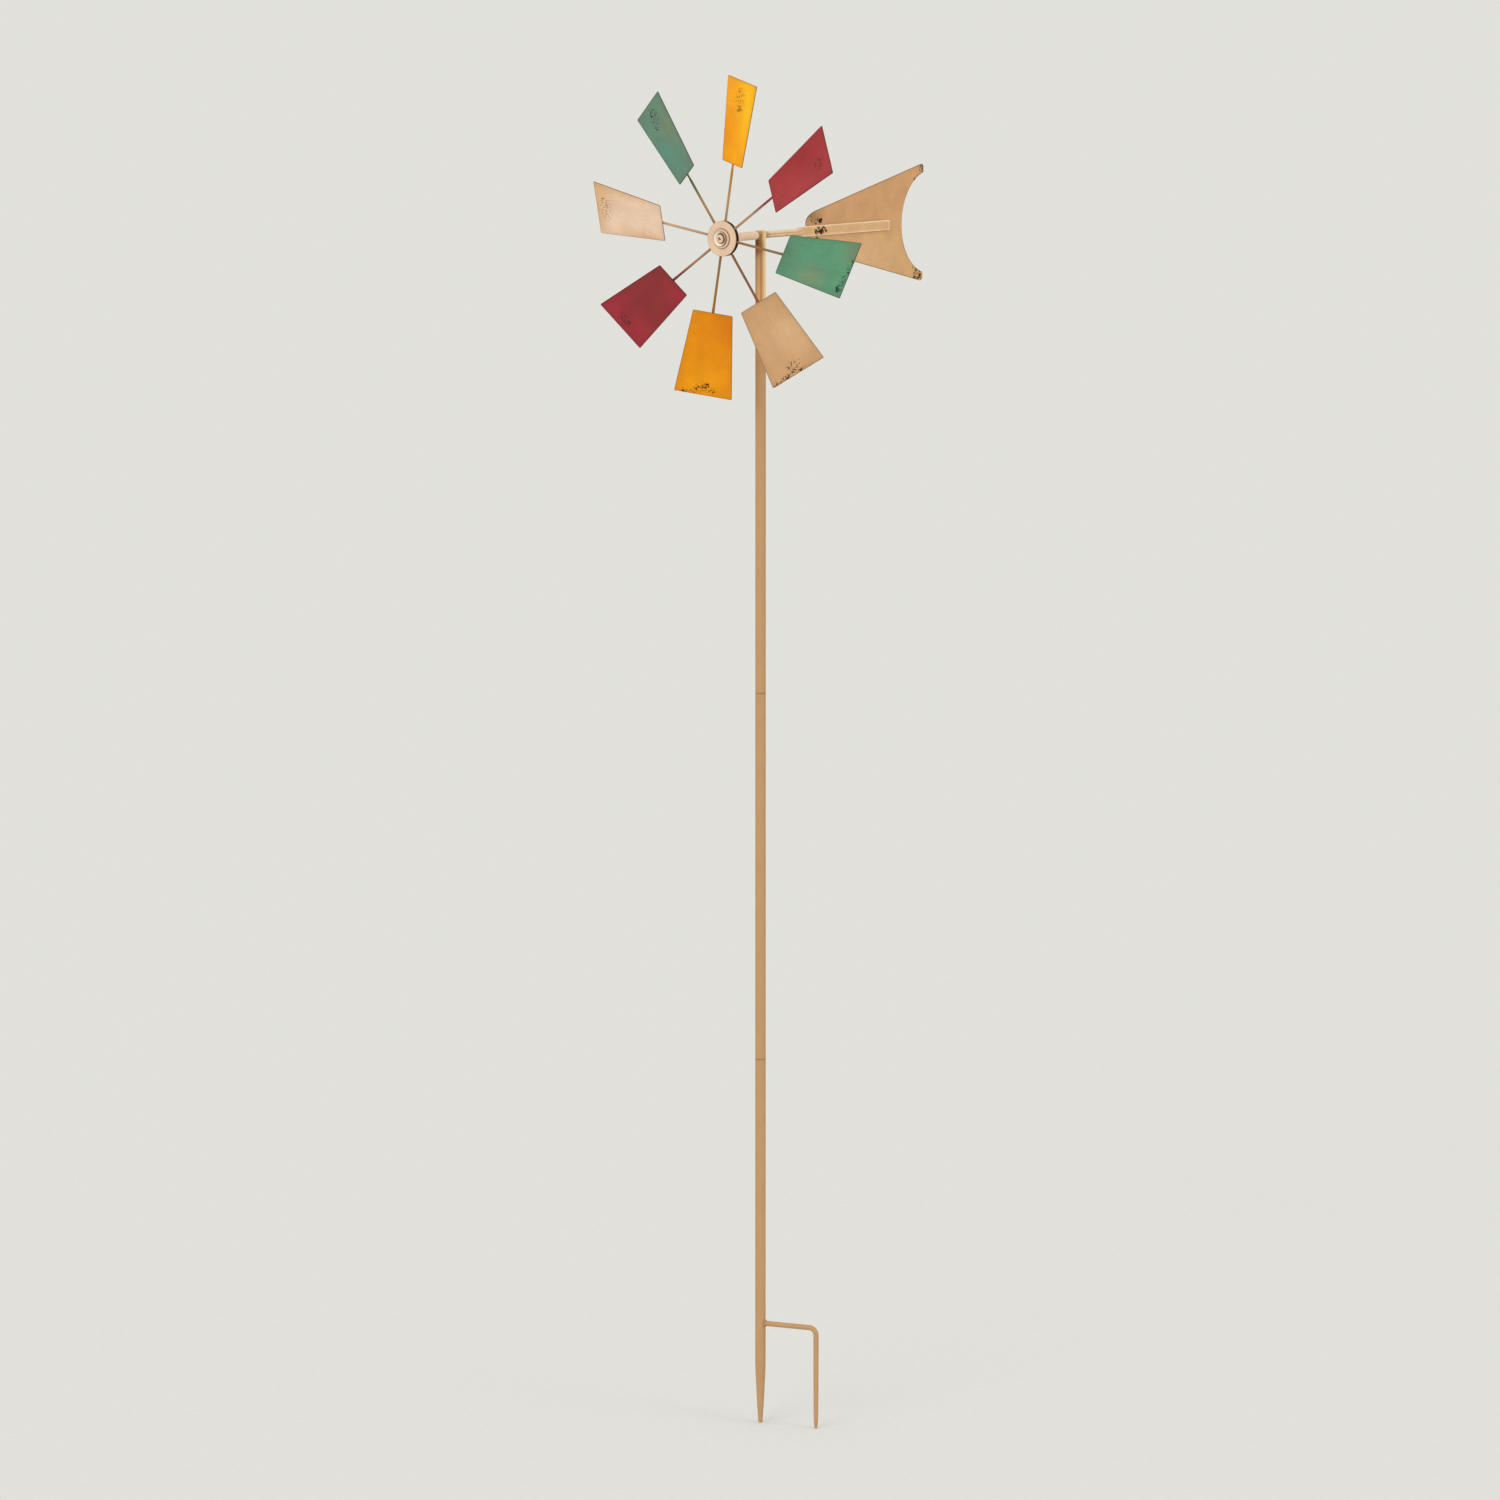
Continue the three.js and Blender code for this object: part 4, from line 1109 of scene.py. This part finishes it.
def hub_washers():
    radius, front, back = turned_extent("hub_washer")
    washer = eased([(SCREW_BORE, front, 0.1), (radius, front, 0.35), (radius, back, 0.1),
                    (SCREW_BORE, back, 0.1)], True)
    make("hub_washer", lathe(with_rings(washer)), "rotor", "head_cream", HUB, HUB_CREAM,
         lambda p: 0.85 * bell(radius_of(p) - radius, 0.5) + 0.8 * bell(radius_of(p) - WASHER_STEP, 0.9))
    radius, front, back = turned_extent("cup_washer")
    floor = back - CUP_FLOOR_THICK
    cup = eased([(SCREW_BORE, floor), (CUP_FLOOR_RADIUS, floor, 0.4), (radius - 0.7, front, 0.3),
                 (radius - 0.2, front, 0.1), (radius, front + 0.5, 0.2), (radius - 1.6, back, 0.1),
                 (SCREW_BORE, back)], True)

    def leftward(points):
        """1 at the cup's left, where a highlight is painted, and 0 at its right, where shade is painted."""
        turn = np.arctan2(points[:, 2], -points[:, 0])
        return 0.5 + 0.5 * np.cos(turn + CUP_HIGHLIGHT_TURN)

    def paint(points):
        # A painted highlight on the inner wall at the cup's left
        inside = within((radius - 0.3 - radius_of(points)) / 0.5)
        return blend(CUP_CREAM, CUP_GLOW, inside * within(1.6 * leftward(points) - 0.3))

    def wash_and_shade(points):
        size = radius_of(points)
        # A dark ring of wash round the screw, painted wider on the right as painted shade
        shade = within(1.3 - 2.2 * leftward(points))
        gutter = within((CUP_GUTTER + CUP_GUTTER_SPREAD * shade - size) / 0.6)
        return 0.95 * gutter + 0.75 * bell(size - radius, 0.35)

    make("cup_washer", lathe(with_rings(cup, 0.3)), "rotor", "head_cream", HUB, paint, wash_and_shade)


SCREW_HEAD_HIGH = 3.0
SCREW_SHANK = 2.5
RECESS_DEPTH = 1.4
RECESS_HALF_WIDTH = 0.8
RECESS_REACH = 3.2
RECESS_TURN = math.radians(25)
SCREW_CREAM = "#DDBE9C"


def axle_screw():
    """A pan-head screw, painted over, with a cross recess that the antique wash fills."""
    low, high = extent("axle_screw", HUB)
    radius, top = high.x, low.y
    seat = top + SCREW_HEAD_HIGH
    profile = eased([(0, top), (3.2, top + 0.2, 0.5), (5.3, top + 0.9, 0.9), (radius, top + 1.9, 0.5),
                     (radius, seat, 0.2), (SCREW_SHANK, seat), (SCREW_SHANK, high.y, 0.5), (0, high.y)])
    points, faces = lathe(with_rings(profile, 0.35))
    narrow = np.minimum(np.abs(points[:, 0]), np.abs(points[:, 2]))
    far = np.maximum(np.abs(points[:, 0]), np.abs(points[:, 2]))
    recess = within((RECESS_HALF_WIDTH - narrow) / 0.35) * within((RECESS_REACH - far) / 0.7)
    recess *= points[:, 1] < top + 1.2
    points[:, 1] += RECESS_DEPTH * recess
    make("axle_screw", (points, faces), "rotor", "head_cream", HUB @ Matrix.Rotation(RECESS_TURN, 4, "Y"),
         SCREW_CREAM, lambda p: recess + 0.75 * bell(radius_of(p) - radius, 0.5))


PIN_BORE = 4.4
FLANGE_THICK = 1.3
AXLE_FLANGE = 1.25  # how far the axle bush's flange stands out from its stem
SWIVEL_FLANGE = 1.3


def flanged(bore, flange, stem, start, end):
    """The section of a bush whose flange is at its start."""
    inner = start + FLANGE_THICK
    return eased([(bore, start, 0.1), (flange, start, 0.25), (flange, inner, 0.25), (stem, inner),
                  (stem, end, 0.3), (bore, end, 0.1)], True)


def small_turned_pieces():
    """The plated and moulded rings that show between the painted parts."""
    radius, front, back = turned_extent("spacer_washer")
    washer = lathe(ring_section(HUB_BORE, radius, front, back, 0.25, 0.15))
    make("spacer_washer", washer, "rotor", "zinc_steel", HUB)
    radius, front, back = turned_extent("front_axle_bush")
    bush = lathe(flanged(HUB_BORE, radius, radius - AXLE_FLANGE, front, back))
    make("front_axle_bush", bush, "head", "bush_nylon", HUB)
    low, high = extent("lower_swivel_bush")
    bush = lathe(flanged(PIN_BORE, high.x, high.x - SWIVEL_FLANGE, low.z, high.z), SWIVEL_SIDES, "Z")
    make("lower_swivel_bush", bush, "head", "bush_nylon")
    low, high = extent("thrust_washer")
    washer = lathe(ring_section(PIN_BORE, high.x, low.z, high.z, 0.25, 0.1), SWIVEL_SIDES, "Z")
    make("thrust_washer", washer, "stake", "zinc_steel")


pole_sections()
side_prong()
swivel_sleeve()
bearing_barrel()
boom_tube()
tail_vane()
arms()
# The rear disc's rim is darker than the front's, as painted shade beside the front disc
hub_disc("front_hub_disc", True, 0.3)
hub_disc("rear_hub_disc", False, 0.6)
hub_core()
hub_washers()
axle_screw()
small_turned_pieces()

# The inner pieces keep their CAD shapes
INNER = {
    "zinc_steel": ("lower_ferrule", "upper_ferrule", "pin_socket", "swivel_pin", "rotor_axle", "axle_clip"),
    "bush_nylon": ("upper_swivel_bush", "rear_axle_bush"),
}
for slot, nodes in INNER.items():
    for node in nodes:
        materials = frame["nodes"][node].data.materials
        materials.clear()
        materials.append(FINISHES[slot])

# ---- Floor, light and camera ----

FLOOR_RINGS = (0, 4, 40, 400)  # in metres, like all that is staged
PAPER_COLOURS = ("#E0E0DC", "#E2E2DE")


def floor():
    """A pale floor that runs on past the edges of any view."""
    mesh = bpy.data.meshes.new("studio_floor")
    top = [(radius, 0) for radius in FLOOR_RINGS]
    points, faces = lathe([*top, (FLOOR_RINGS[-1], -1), (0, -1)], axis="Z")
    mesh.from_pydata(points.tolist(), [], faces)
    ground = linked("studio_floor", mesh)
    ground.location.z = cad_low.z
    t = Tree("studio_paper")
    fibre = t.noise(t.place(), 12.0, 2.0)
    mesh.materials.append(t.finished(t.mix(t.ramp(fibre, 0.3, 0.7), *PAPER_COLOURS), 0.95, specular=0.0))


CAMERA_AZIMUTH = math.radians(36.69)
CAMERA_ELEVATION = math.radians(7.83)
CAMERA_DISTANCE = 11.28  # level distance from the stake
CAMERA_LENS = 192.0
AIM_HEIGHT = 0.833
AIM_LEFT = 0.015


def towards(azimuth, elevation):
    """The direction of a place round the windmill: azimuth 0 is its front, 90 its right-hand side."""
    level = math.cos(elevation)
    return Vector((math.sin(azimuth) * level, -math.cos(azimuth) * level, math.sin(elevation)))


def facing_in(name, data, away, location):
    """A camera or lamp that stands away from the windmill and looks back along the same line."""
    new = linked(name, data)
    new.location = location
    new.rotation_euler = (-away).to_track_quat("-Z", "Y").to_euler()
    return new


def camera():
    right = Vector((math.cos(CAMERA_AZIMUTH), math.sin(CAMERA_AZIMUTH), 0))
    aim = Vector((0, 0, AIM_HEIGHT)) - right * AIM_LEFT
    data = bpy.data.cameras.new("camera")
    data.lens = CAMERA_LENS
    data.clip_end = 2 * FLOOR_RINGS[-1]
    away = towards(CAMERA_AZIMUTH, CAMERA_ELEVATION)
    eye = facing_in("camera", data, away, aim + away * CAMERA_DISTANCE / math.cos(CAMERA_ELEVATION))
    bpy.context.scene.camera = eye


def soft_light(name, azimuth, elevation, strength, spread):
    """A broad, even light from one direction. Spread is how wide it looks, in degrees."""
    data = bpy.data.lights.new(name, "SUN")
    data.energy = strength
    data.angle = math.radians(spread)
    away = towards(math.radians(azimuth), math.radians(elevation))
    facing_in(name, data, away, away * 4)


WORLD_COLOUR = (1.0, 0.99, 0.965, 1)
WORLD_STRENGTH = 0.77


def studio_light():
    world = bpy.data.worlds.new("studio")
    world.use_nodes = True
    background = world.node_tree.nodes["Background"]
    background.inputs["Color"].default_value = WORLD_COLOUR
    background.inputs["Strength"].default_value = WORLD_STRENGTH
    bpy.context.scene.world = world
    soft_light("front", 5, 25, 1.06, 40)
    soft_light("right", 95, 30, 0.58, 30)


floor()
camera()
studio_light()
bpy.context.scene.view_settings.view_transform = "Standard"
